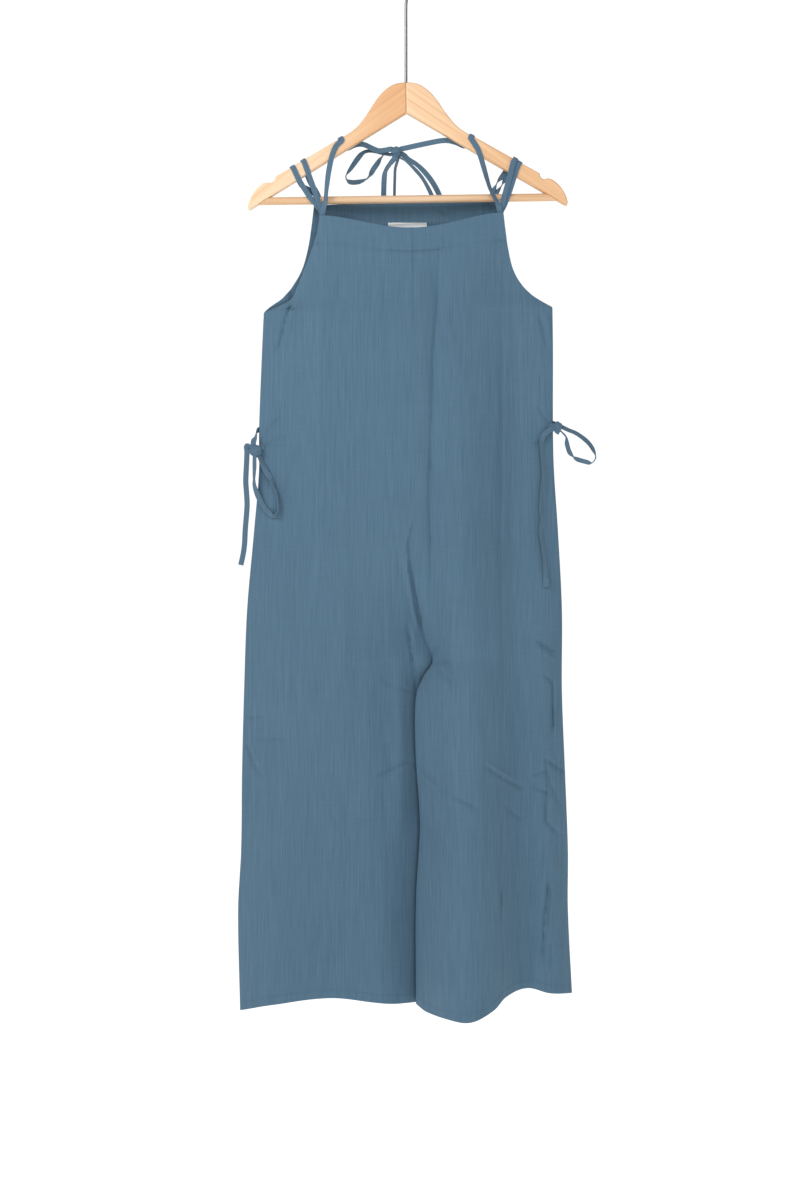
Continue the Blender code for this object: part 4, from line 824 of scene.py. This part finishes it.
apply_change(label, "SOLIDIFY", thickness=LABEL_THICK, offset=1.0)
apply_change(label, "BEVEL", width=LABEL_THICK / 4.0, limit_method="ANGLE")
bpy.ops.object.shade_smooth_by_angle(angle=math.radians(40.0))
satin, satin_tree, satin_shader = new_finish("white_woven_satin", 0.55, Sheen_Weight=0.1)
satin_yarns = fine_lines(satin_tree, YARNS_PER_METRE)
satin_tone = add_node(satin_tree, "ShaderNodeValToRGB", links={"Fac": satin_yarns})
set_tones(satin_tone, "#dfe5e6", "#f3f6f6")
satin_tree.links.new(satin_tone.outputs["Color"], satin_shader.inputs["Base Color"])
satin_bump = add_node(
    satin_tree, "ShaderNodeBump", {"Strength": 0.2, "Distance": 0.0002}, {"Height": satin_yarns}
)
satin_tree.links.new(satin_bump.outputs["Normal"], satin_shader.inputs["Normal"])
label.data.materials.append(satin)
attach(label, "root")
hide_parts("neck_label")


# The straps: narrow flat strips of the same cloth, folded and sewn along one side. Two from each
# front corner go over the hanger's arm to the back corner, and one is a halter that goes over it
# to the bow behind the hanger. Each runs through its stops, flat towards the way that they look.
Stop = namedtuple("Stop", "x y z look")
OnFront = namedtuple("OnFront", "x z lift look")
OnBack = namedtuple("OnBack", "x z lift look")
Strap = namedtuple("Strap", "leg cross_x under before behind")
LOOKS = {
    "front": Vector((0.0, -1.0, 0.0)),
    "back": Vector((0.0, 1.0, 0.0)),
    "down": Vector((0.0, 0.0, -1.0)),
    "out_right": Vector((-1.0, 0.0, 0.0)),
    "out_left": Vector((1.0, 0.0, 0.0)),
    "half_right": Vector((-0.7, -0.7, 0.0)),
    "half_left": Vector((0.7, -0.7, 0.0)),
    "side_right": Vector((-0.9, -0.4, 0.0)),
    "side_left": Vector((0.9, -0.4, 0.0)),
    "half_up": Vector((0.0, -0.7, 0.7)),
    "half_down": Vector((0.0, -0.7, -0.7)),
    "low_right": Vector((-0.7, 0.0, -0.7)),
    "low_left": Vector((0.7, 0.0, -0.7)),
}
STRAPS = {
    "strap_right_outer": Strap(
        RIGHT, -0.1600, 0,
        [
            Stop(-0.1165, -0.0066, -0.3715, "front"),
            Stop(-0.1175, -0.0066, -0.3590, "front"),
            Stop(-0.1240, -0.0066, -0.3480, "front"),
            Stop(-0.1339, -0.0068, -0.3364, "front"),
            Stop(-0.1479, -0.0069, -0.3141, "front"),
        ],
        [
            Stop(-0.1493, 0.0069, -0.3113, "back"),
            Stop(-0.1437, 0.0069, -0.3190, "back"),
            Stop(-0.1350, 0.0069, -0.3235, "back"),
            Stop(-0.1235, 0.0066, -0.3330, "back"),
            Stop(-0.1190, 0.0066, -0.3420, "back"),
            Stop(-0.1190, 0.0066, -0.3520, "back"),
        ],
    ),
    "strap_right_inner": Strap(
        RIGHT, -0.1451, 0,
        [
            Stop(-0.1165, -0.0081, -0.3715, "front"),
            Stop(-0.1170, -0.0081, -0.3590, "front"),
            Stop(-0.1205, -0.0082, -0.3460, "front"),
            Stop(-0.1242, -0.0083, -0.3364, "front"),
            Stop(-0.1311, -0.0075, -0.3169, "front"),
        ],
        [
            Stop(-0.1390, 0.0069, -0.2990, "back"),
            Stop(-0.1340, 0.0084, -0.3120, "back"),
            Stop(-0.1255, 0.0084, -0.3260, "back"),
            Stop(-0.1200, 0.0082, -0.3400, "back"),
            Stop(-0.1195, 0.0082, -0.3530, "back"),
        ],
    ),
    "strap_left_outer": Strap(
        LEFT, 0.1569, 0,
        [
            Stop(0.1305, -0.0066, -0.3675, "front"),
            Stop(0.1320, -0.0066, -0.3570, "front"),
            Stop(0.1375, -0.0067, -0.3460, "front"),
            Stop(0.1451, -0.0069, -0.3252, "front"),
            Stop(0.1530, -0.0069, -0.3000, "front"),
        ],
        [
            Stop(0.1480, 0.0069, -0.2950, "back"),
            Stop(0.1409, 0.0069, -0.3050, "back"),
            Stop(0.1339, 0.0069, -0.3169, "out_left"),
            Stop(0.1225, 0.0066, -0.3336, "back"),
            Stop(0.1200, 0.0066, -0.3440, "back"),
        ],
    ),
    "strap_left_inner": Strap(
        LEFT, 0.1505, 1,
        [
            Stop(0.1305, -0.0081, -0.3675, "front"),
            Stop(0.1310, -0.0081, -0.3570, "front"),
            Stop(0.1339, -0.0083, -0.3460, "front"),
            Stop(0.1395, -0.0084, -0.3252, "front"),
            Stop(0.1465, -0.0084, -0.2990, "front"),
        ],
        [
            Stop(0.1430, 0.0084, -0.2920, "back"),
            Stop(0.1370, 0.0084, -0.3010, "back"),
            Stop(0.1269, 0.0084, -0.3141, "out_left"),
            Stop(0.1210, 0.0082, -0.3290, "back"),
            Stop(0.1200, 0.0082, -0.3440, "back"),
        ],
    ),
    "halter_right": Strap(
        RIGHT, -0.0925, 0,
        [
            Stop(-0.1165, -0.0096, -0.3715, "front"),
            Stop(-0.1163, -0.0098, -0.3610, "front"),
            Stop(-0.1148, -0.0108, -0.3530, "front"),
            Stop(-0.1118, -0.0114, -0.3430, "half_right"),
            Stop(-0.1106, -0.0108, -0.3280, "half_right"),
            Stop(-0.1070, -0.0080, -0.2980, "front"),
            Stop(-0.1025, -0.0069, -0.2780, "front"),
            Stop(-0.0970, -0.0069, -0.2650, "front"),
        ],
        [
            Stop(-0.0905, 0.0069, -0.2620, "back"),
            Stop(-0.0830, 0.0069, -0.2650, "back"),
            Stop(-0.0710, 0.0069, -0.2600, "back"),
            Stop(-0.0596, 0.0070, -0.2595, "back"),
            Stop(-0.0478, 0.0085, -0.2644, "back"),
            Stop(-0.0393, 0.0105, -0.2673, "back"),
            Stop(-0.0307, 0.0115, -0.2668, "back"),
            Stop(-0.0211, 0.0115, -0.2650, "back"),
        ],
    ),
    "halter_left": Strap(
        LEFT, 0.0910, 0,
        [
            Stop(0.1305, -0.0096, -0.3675, "front"),
            Stop(0.1303, -0.0098, -0.3580, "front"),
            Stop(0.1288, -0.0108, -0.3510, "front"),
            Stop(0.1252, -0.0114, -0.3420, "half_left"),
            Stop(0.1190, -0.0110, -0.3300, "half_left"),
            Stop(0.1144, -0.0095, -0.3183, "half_left"),
            Stop(0.1025, -0.0069, -0.2764, "front"),
            Stop(0.0960, -0.0069, -0.2630, "front"),
        ],
        [
            Stop(0.0890, 0.0069, -0.2590, "back"),
            Stop(0.0810, 0.0069, -0.2615, "back"),
            Stop(0.0690, 0.0069, -0.2565, "back"),
            Stop(0.0525, 0.0070, -0.2540, "back"),
            Stop(0.0237, 0.0095, -0.2586, "back"),
            Stop(-0.0030, 0.0115, -0.2640, "back"),
            Stop(-0.0063, 0.0115, -0.2646, "back"),
        ],
    ),
}
STRAP_WIDTH = 0.0075
STRAP_THICK = 0.0012
STRAP_STEP = 0.0020
STRAP_BEVEL = 0.3
STRAP_FINISH = add_cloth_finish("slate_blue_weave_on_straps", "#46637a", "#577489", 0.24)
STRAP_SHARES = (-0.5, -0.44, -0.38, -0.30, -0.1, 0.1, 0.30, 0.38, 0.44, 0.5)
STRAP_LIFTS = (0.0, 0.00012, -0.00004, 0.00014, 0.00018, 0.00018, 0.00014, -0.00004, 0.00012, 0.0)
KNOT_REACH = 0.0150
KNOT_SHARE = 0.6
KNOT_MIDDLES = {
    "bow_knot": Vector((-0.0137, 0.0155, -0.2676)),
    "tie_right_knot": Vector((-0.2088, -0.0080, -0.6896)),
    "tie_left_knot": Vector((0.2108, -0.0050, -0.6570)),
}
PEAK_Z = -0.1757
HANGER_TILT = math.radians(0.8)
ARM_THICK = 0.0120
ARM_BEVEL = 0.0018
ARM_SLOPE_REACH = 0.003
CrownPoint = namedtuple("CrownPoint", "x z")
ARM_CROWN = [
    CrownPoint(0.0000, 0.0000),
    CrownPoint(0.0167, -0.0025),
    CrownPoint(0.0314, -0.0123),
    CrownPoint(0.0432, -0.0258),
    CrownPoint(0.0537, -0.0419),
    CrownPoint(0.0670, -0.0590),
    CrownPoint(0.0809, -0.0704),
    CrownPoint(0.0935, -0.0770),
    CrownPoint(0.1841, -0.1295),
]


def tilted(x, y, z):
    """Turn a point of the hanger's own frame with the hanger and place it under the hook."""
    turned_x = x * math.cos(HANGER_TILT) - z * math.sin(HANGER_TILT)
    turned_z = z * math.cos(HANGER_TILT) + x * math.sin(HANGER_TILT)
    return Vector((turned_x, y, PEAK_Z + turned_z))


def arm_top(leg, x):
    """The top edge of one arm above one place along X, and the way its slope looks."""
    own_x = abs(x)
    near = np.array([own_x - ARM_SLOPE_REACH, own_x, own_x + ARM_SLOPE_REACH])
    low, middle, high = read_table(ARM_CROWN, "x", "z", near)
    fall = float(high - low) / (2.0 * ARM_SLOPE_REACH)
    return tilted(leg * own_x, 0.0, float(middle)), Vector((-leg * fall, 0.0, 1.0)).normalized()


def over_arm(strap):
    """Stops that carry a strap over an arm, flat against its front, its top and its back."""
    lift = SEAM_GAP + STRAP_THICK / 2.0 + strap.under * (STRAP_THICK + SEAM_GAP)
    flat = ARM_THICK / 2.0 - ARM_BEVEL
    ring = ARM_BEVEL + lift
    turn = ring * math.sqrt(0.5)
    around = [
        (-flat - ring, -ARM_BEVEL - ring, LOOKS["front"]),
        (-flat - ring, -ARM_BEVEL, LOOKS["front"]),
        (-flat - turn, turn - ARM_BEVEL, None),
        (-flat, lift, None),
        (flat, lift, None),
        (flat + turn, turn - ARM_BEVEL, None),
        (flat + ring, -ARM_BEVEL, LOOKS["back"]),
        (flat + ring, -ARM_BEVEL - ring, LOOKS["back"]),
    ]
    point, upward = arm_top(strap.leg, strap.cross_x)
    stops = []
    for y, height, look in around:
        if look is None:
            look = upward * max(height + ARM_BEVEL, 0.0) + Vector((0.0, y - math.copysign(flat, y), 0.0))
            look.normalize()
        place = point + upward * height
        stops.append(Stop(place.x, y, place.z, look))
    return strap.before + stops + strap.behind


def placed(stop):
    """Where a stop lies in space; one given by the cloth lies that far outside the cloth."""
    if isinstance(stop, Stop):
        return Vector((stop.x, stop.y, stop.z))
    face = FRONT if isinstance(stop, OnFront) else BACK
    leg = RIGHT if stop.x < centre_edge_x(RIGHT, stop.z) else LEFT
    clear = SEAM_GAP + STRAP_THICK / 2.0 + stop.lift
    at = np.array([stop.x]), np.array([stop.z])
    y = max(face * float(cloth_y(face, leg, *at)[0]), face * float(worn_y(face, leg, *at)[0]))
    return Vector((stop.x, face * (y + clear), stop.z))


def curve_points(points, step):
    """Points on a smooth curve through the given points, about one step apart."""
    result = []
    for index in range(len(points) - 1):
        before = points[max(index - 1, 0)]
        start = points[index]
        end = points[index + 1]
        after = points[min(index + 2, len(points) - 1)]
        count = max(int(math.ceil((end - start).length / step)), 1)
        for number in range(count):
            share = number / count
            square = share * share
            cube = square * share
            point = start * (2.0 * cube - 3.0 * square + 1.0)
            point += end * (3.0 * square - 2.0 * cube)
            point += (end - before) * 0.5 * (cube - 2.0 * square + share)
            point += (after - start) * 0.5 * (cube - square)
            result.append((point, index + share))
    result.append((points[-1], len(points) - 1.0))
    return result


def add_band(name, stops, width=STRAP_WIDTH, thick=STRAP_THICK):
    """A narrow strip through its stops: a long grid, given its thickness and eased edges."""
    route = [placed(stop) for stop in stops]
    looks = [stop.look if isinstance(stop.look, Vector) else LOOKS[stop.look] for stop in stops]
    path = curve_points(route, STRAP_STEP)
    piece = add_grid(name, len(STRAP_SHARES), len(path))
    places = []
    for number, (point, position) in enumerate(path):
        before = path[max(number - 1, 0)][0]
        after = path[min(number + 1, len(path) - 1)][0]
        along = (after - before).normalized()
        slot = min(int(position), len(looks) - 2)
        share = position - slot
        look = looks[slot] * (1.0 - share) + looks[slot + 1] * share
        look = (look - along * look.dot(along)).normalized()
        side = along.cross(look)
        for across, lift in zip(STRAP_SHARES, STRAP_LIFTS):
            places.append(point + side * across * width + look * (thick / 2.0 + lift))
    place_points(piece, places)
    middle = piece.data.polygons[len(piece.data.polygons) // 2]
    nearest = min(path, key=lambda spot: (spot[0] - middle.center).length)
    if middle.normal.dot(middle.center - nearest[0]) < 0.0:
        piece.data.flip_normals()
    apply_change(piece, "SOLIDIFY", thickness=thick, offset=-1.0)
    apply_change(
        piece, "BEVEL", width=thick * STRAP_BEVEL, segments=2, limit_method="ANGLE",
        angle_limit=math.radians(60.0),
    )
    bpy.ops.object.shade_smooth_by_angle(angle=math.radians(50.0))
    piece.data.materials.append(STRAP_FINISH)
    return piece, [list(point) for point, _ in path]


def into_knots(stops):
    """The stops of a strip, led on into the knots that hold its ends."""
    stops = list(stops)
    for end in (0, -1):
        place = placed(stops[end])
        middle = min(KNOT_MIDDLES.values(), key=lambda spot: (spot - place).length)
        if (middle - place).length < KNOT_REACH:
            place = place + (middle - place) * KNOT_SHARE
            more = Stop(place.x, place.y, place.z, stops[end].look)
            stops.insert(0 if end == 0 else len(stops), more)
    return stops


for node, strap in STRAPS.items():
    band, _ = add_band(node + "_strip", into_knots(over_arm(strap)))
    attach(band, "root")
    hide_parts(node)


# The bow that joins the two halters behind the hanger, and the ties at the sides: strips like
# the straps. Loops and the strips sewn to the side seams are held at both ends; the bow's tails
# and the ends of the side ties hang free. The left side tie's end has a folded, stitched tip.
TIES = {
    "bow_loop_right": [
        Stop(-0.0211, 0.0195, -0.2640, "down"),
        Stop(-0.0297, 0.0240, -0.2676, "down"),
        Stop(-0.0350, 0.0235, -0.2750, "out_left"),
        Stop(-0.0393, 0.0215, -0.2814, "half_left"),
        Stop(-0.0456, 0.0200, -0.2911, "front"),
        Stop(-0.0520, 0.0190, -0.3015, "out_left"),
        Stop(-0.0564, 0.0180, -0.3060, "down"),
        Stop(-0.0670, 0.0170, -0.3098, "half_down"),
        Stop(-0.0777, 0.0160, -0.3103, "half_down"),
        Stop(-0.0830, 0.0155, -0.3071, "low_right"),
        Stop(-0.0841, 0.0150, -0.3017, "out_right"),
        Stop(-0.0777, 0.0150, -0.2922, "half_right"),
        Stop(-0.0681, 0.0155, -0.2782, "front"),
        Stop(-0.0607, 0.0160, -0.2697, "half_up"),
        Stop(-0.0531, 0.0162, -0.2668, "half_up"),
        Stop(-0.0435, 0.0163, -0.2674, "half_up"),
        Stop(-0.0350, 0.0165, -0.2694, "half_up"),
        Stop(-0.0243, 0.0165, -0.2714, "half_up"),
        Stop(-0.0211, 0.0162, -0.2718, "half_up"),
    ],
    "bow_loop_left": [
        Stop(-0.0030, 0.0180, -0.2722, "front"),
        Stop(0.0035, 0.0185, -0.2777, "half_left"),
        Stop(0.0162, 0.0195, -0.2858, "half_left"),
        Stop(0.0290, 0.0205, -0.2985, "front"),
        Stop(0.0398, 0.0215, -0.3135, "front"),
        Stop(0.0488, 0.0220, -0.3326, "front"),
        Stop(0.0540, 0.0225, -0.3560, "half_left"),
        Stop(0.0520, 0.0235, -0.3720, "low_left"),
        Stop(0.0460, 0.0238, -0.3740, "down"),
        Stop(0.0420, 0.0235, -0.3600, "half_right"),
        Stop(0.0381, 0.0235, -0.3326, "half_right"),
        Stop(0.0258, 0.0230, -0.3071, "side_right"),
        Stop(0.0141, 0.0215, -0.2926, "side_right"),
        Stop(0.0003, 0.0190, -0.2800, "down"),
        Stop(-0.0085, 0.0180, -0.2754, "down"),
    ],
    "bow_tail_right": [
        Stop(-0.0160, 0.0138, -0.2764, "front"),
        Stop(-0.0170, 0.0142, -0.2790, "front"),
        Stop(-0.0225, 0.0160, -0.2850, "half_right"),
        Stop(-0.0286, 0.0185, -0.2943, "half_right"),
        Stop(-0.0307, 0.0200, -0.3071, "front"),
        Stop(-0.0315, 0.0200, -0.3326, "front"),
        OnBack(-0.0325, -0.3700, 0.0010, "front"),
        OnBack(-0.0320, -0.4200, 0.0004, "front"),
        OnBack(-0.0335, -0.4600, 0.0004, "front"),
    ],
    "bow_tail_left": [
        Stop(-0.0110, 0.0165, -0.2768, "side_left"),
        Stop(-0.0150, 0.0200, -0.2900, "side_left"),
        Stop(-0.0158, 0.0215, -0.3028, "side_left"),
        Stop(-0.0163, 0.0230, -0.3326, "side_left"),
        OnBack(-0.0150, -0.3700, 0.0030, "half_left"),
        OnBack(-0.0125, -0.4100, 0.0004, "front"),
        OnBack(-0.0130, -0.4350, 0.0004, "front"),
    ],
    "tie_right_back": [
        OnBack(-0.1975, -0.6560, 0.0016, "back"),
        OnBack(-0.2013, -0.6575, 0.0022, "back"),
        Stop(-0.2080, 0.0030, -0.6610, "out_right"),
        Stop(-0.2100, -0.0045, -0.6700, "half_right"),
        Stop(-0.2120, -0.0070, -0.6760, "front"),
        Stop(-0.2123, -0.0080, -0.6806, "front"),
    ],
    "tie_right_front": [
        OnFront(-0.1985, -0.6836, 0.0008, "front"),
        OnFront(-0.2003, -0.6842, 0.0020, "front"),
        OnFront(-0.2022, -0.6850, 0.0036, "front"),
    ],
    "tie_right_loop": [
        OnFront(-0.2105, -0.6986, 0.0070, "half_right"),
        OnFront(-0.2106, -0.7124, 0.0070, "half_right"),
        OnFront(-0.2112, -0.7290, 0.0070, "side_right"),
        OnFront(-0.2102, -0.7400, 0.0065, "half_right"),
        OnFront(-0.2039, -0.7566, 0.0035, "front"),
        OnFront(-0.1957, -0.7704, 0.0015, "front"),
        OnFront(-0.1840, -0.7807, 0.0030, "half_down"),
        OnFront(-0.1784, -0.7744, 0.0045, "out_left"),
        OnFront(-0.1777, -0.7636, 0.0045, "out_left"),
        OnFront(-0.1812, -0.7456, 0.0042, "out_left"),
        OnFront(-0.1861, -0.7318, 0.0040, "half_left"),
        OnFront(-0.1943, -0.7193, 0.0025, "front"),
        OnFront(-0.2005, -0.7069, 0.0035, "half_left"),
        OnFront(-0.2035, -0.6986, 0.0045, "half_left"),
    ],
    "tie_right_end": [
        Stop(-0.2215, -0.0080, -0.6826, "front"),
        Stop(-0.2212, -0.0080, -0.6917, "front"),
        Stop(-0.2219, -0.0078, -0.7083, "front"),
        Stop(-0.2229, -0.0075, -0.7318, "front"),
        Stop(-0.2217, -0.0072, -0.7510, "front"),
        Stop(-0.2212, -0.0070, -0.7675, "front"),
        Stop(-0.2236, -0.0068, -0.7980, "front"),
        Stop(-0.2247, -0.0066, -0.8188, "front"),
        Stop(-0.2268, -0.0065, -0.8340, "front"),
        Stop(-0.2300, -0.0065, -0.8484, "front"),
    ],
    "tie_left_back": [
        OnBack(0.1965, -0.6490, 0.0016, "back"),
        OnBack(0.2003, -0.6495, 0.0022, "back"),
        Stop(0.2072, 0.0030, -0.6512, "out_left"),
        Stop(0.2092, -0.0030, -0.6530, "half_left"),
        Stop(0.2102, -0.0048, -0.6545, "front"),
    ],
    "tie_left_front": [
        OnFront(0.1995, -0.6538, 0.0004, "front"),
        OnFront(0.2020, -0.6543, 0.0010, "front"),
        OnFront(0.2045, -0.6548, 0.0020, "front"),
    ],
    "tie_left_loop": [
        Stop(0.2167, -0.0050, -0.6560, "half_up"),
        Stop(0.2247, -0.0060, -0.6600, "half_up"),
        Stop(0.2359, -0.0065, -0.6647, "half_up"),
        Stop(0.2455, -0.0070, -0.6711, "half_up"),
        Stop(0.2536, -0.0070, -0.6783, "half_left"),
        Stop(0.2599, -0.0070, -0.6871, "half_left"),
        Stop(0.2639, -0.0072, -0.6983, "out_left"),
        Stop(0.2584, -0.0075, -0.7064, "low_left"),
        Stop(0.2504, -0.0078, -0.7047, "half_down"),
        Stop(0.2391, -0.0080, -0.7015, "half_down"),
        Stop(0.2327, -0.0080, -0.6976, "down"),
        Stop(0.2271, -0.0080, -0.6903, "half_right"),
        Stop(0.2239, -0.0080, -0.6792, "half_right"),
        Stop(0.2226, -0.0075, -0.6700, "out_right"),
        Stop(0.2167, -0.0060, -0.6630, "low_right"),
    ],
    "tie_left_end": [
        OnFront(0.2034, -0.6592, 0.0036, "front"),
        OnFront(0.1980, -0.6618, 0.0028, "front"),
        OnFront(0.1904, -0.6695, 0.0022, "front"),
        OnFront(0.1883, -0.6807, 0.0026, "half_left"),
        OnFront(0.1900, -0.7032, 0.0026, "half_left"),
        OnFront(0.1911, -0.7240, 0.0026, "half_left"),
        OnFront(0.1885, -0.7511, 0.0026, "half_left"),
        OnFront(0.1875, -0.7720, 0.0026, "half_left"),
        OnFront(0.1887, -0.7850, 0.0026, "half_left"),
        OnFront(0.1874, -0.8060, 0.0026, "half_left"),
        OnFront(0.1924, -0.8390, 0.0022, "half_left"),
        OnFront(0.1946, -0.8791, 0.0006, "front"),
    ],
}
TIP_STOPS = [OnFront(0.1938, -0.8665, 0.0006, "front"), OnFront(0.1946, -0.8791, 0.0006, "front")]
TIP_WIDTH = 0.0086
TIP_THICK = 0.0021
for node, stops in TIES.items():
    band, path = add_band(node + "_strip", into_knots(stops))
    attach(band, "root")
    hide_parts(node)
    if node == "tie_left_end":
        tip, _ = add_band("tie_left_end_turned_tip", TIP_STOPS, TIP_WIDTH, TIP_THICK)
        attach(tip, "root")


# The knots: each is the strip wound round itself and pulled tight, so a small soft lump with
# the edges of its turns showing.
Knot = namedtuple("Knot", "half turns")
Turn = namedtuple("Turn", "lean aside reach")
KNOTS = {
    "bow_knot": Knot(
        Vector((0.0062, 0.0062, 0.0072)), [Turn(8.0, 0.0, 1.0), Turn(-62.0, 0.0005, 0.86)]
    ),
    "tie_right_knot": Knot(
        Vector((0.0085, 0.0045, 0.0085)),
        [Turn(24.0, 0.0010, 1.0), Turn(-58.0, -0.0010, 0.92), Turn(70.0, 0.0010, 0.86)],
    ),
    "tie_left_knot": Knot(
        Vector((0.0050, 0.0045, 0.0090)), [Turn(-12.0, 0.0008, 1.0), Turn(60.0, -0.0020, 0.9)]
    ),
}
TURN_POINTS = 16
TURN_WIDTH = STRAP_WIDTH * 0.8


def add_turn(name, middle, half, turn):
    """One turn of the strip round a knot, leaning to one side."""
    lean = math.radians(turn.lean)
    stops = []
    for number in range(TURN_POINTS + 1):
        angle = 2.0 * math.pi * number / TURN_POINTS
        flat = Vector((math.cos(angle) * math.cos(lean), math.sin(angle), math.cos(angle) * math.sin(lean)))
        out = Vector((flat.x * half.x, flat.y * half.y, flat.z * half.z)) * turn.reach
        aside = Vector((-math.sin(lean), 0.0, math.cos(lean))) * turn.aside
        place = middle + out + aside
        stops.append(Stop(place.x, place.y, place.z, flat))
    return add_band(name, stops, TURN_WIDTH)[0]


for node, knot in KNOTS.items():
    bpy.ops.object.select_all(action="DESELECT")
    bpy.ops.mesh.primitive_uv_sphere_add(segments=32, ring_count=20, radius=1.0)
    core = bpy.context.active_object
    core.name = node + "_wound"
    core.scale = knot.half
    core.location = KNOT_MIDDLES[node]
    bpy.ops.object.transform_apply(location=True, rotation=True, scale=True)
    bpy.ops.object.shade_smooth()
    core.data.materials.append(STRAP_FINISH)
    turns = [add_turn(node + "_turn", KNOT_MIDDLES[node], knot.half, turn) for turn in knot.turns]
    bpy.ops.object.select_all(action="DESELECT")
    for piece in turns + [core]:
        piece.select_set(True)
    bpy.context.view_layer.objects.active = core
    bpy.ops.object.join()
    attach(core, "root")
    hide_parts(node)


# The hanger: two arms of lotus wood, glued at the peak, with a dowel as trouser bar between
# them, under clear satin lacquer: plain and pale, with straight grain in bands some 5 mm wide.
# The base colour is darker and warmer at the right arm's peak, and at the tips of the left arm and the bar,
# and pales towards the other end of each.
WoodPiece = namedtuple("WoodPiece", "node slope dark light at_peak at_tip")
WOOD = [
    WoodPiece("hanger_arm_right", 36.0, "#e9bd8f", "#f6d8b6", "#e9cda9", "#ffffff"),
    WoodPiece("hanger_arm_left", -34.0, "#dfae7d", "#f2cca2", "#ffffff", "#f5ead9"),
    WoodPiece("hanger_bar", 0.8, "#dab189", "#edcdab", "#ffffff", "#f7ede0"),
]
WOOD_TONE_REACH = 0.16
FIBRES_PER_METRE = (5.0, 160.0, 210.0)
for wood in WOOD:
    finish, tree, shader = new_finish(
        "satin_lacquered_wood_" + wood.node, 0.42, Coat_Weight=0.35, Coat_Roughness=0.22
    )
    fibres = fine_lines(tree, FIBRES_PER_METRE, wood.slope, Detail=5.0, Roughness=0.62, Distortion=0.3)
    tone = add_node(tree, "ShaderNodeValToRGB", links={"Fac": fibres})
    set_tones(tone, wood.dark, wood.light, 0.30, 0.66)
    place = add_node(tree, "ShaderNodeTexCoord")
    apart = add_node(tree, "ShaderNodeSeparateXYZ", links={"Vector": place.outputs["Object"]})
    from_peak = add_node(tree, "ShaderNodeMath", links={0: apart.outputs["X"]}, operation="ABSOLUTE")
    along_arm = add_node(
        tree, "ShaderNodeMapRange", {"From Max": WOOD_TONE_REACH}, {"Value": from_peak.outputs[0]},
        interpolation_type="SMOOTHSTEP",
    )
    # A tone that changes along each arm with the distance from the peak; the grain's colour is multiplied by
    # it, darker and warmer at one end.
    tone_along_arm = add_node(tree, "ShaderNodeValToRGB", links={"Fac": along_arm.outputs[0]})
    set_tones(tone_along_arm, wood.at_peak, wood.at_tip)
    toned_wood = add_node(
        tree, "ShaderNodeVectorMath", links={0: tone.outputs["Color"], 1: tone_along_arm.outputs["Color"]},
        operation="MULTIPLY",
    )
    tree.links.new(toned_wood.outputs[0], shader.inputs["Base Color"])
    relief = add_node(tree, "ShaderNodeBump", {"Strength": 0.12, "Distance": 0.0002}, {"Height": fibres})
    tree.links.new(relief.outputs["Normal"], shader.inputs["Normal"])
    for slot in bpy.data.objects[wood.node].material_slots:
        slot.material = finish


# The hook: one length of 4 mm steel wire, bent into an open ring and nickel plated, with the
# faint lengthwise marks of drawing. They are drawn 1.1 mm apart, because finer ones don't show.
MARKS_PER_METRE = (900.0, 900.0, 12.0)
plated, plated_tree, plated_shader = new_finish("nickel_plated_steel", 0.45, Metallic=1.0)
plated_marks = fine_lines(plated_tree, MARKS_PER_METRE)
plated_tone = add_node(plated_tree, "ShaderNodeValToRGB", links={"Fac": plated_marks})
set_tones(plated_tone, "#7e7f81", "#868789")
plated_tree.links.new(plated_tone.outputs["Color"], plated_shader.inputs["Base Color"])
for slot in bpy.data.objects["hanger_hook"].material_slots:
    slot.material = plated
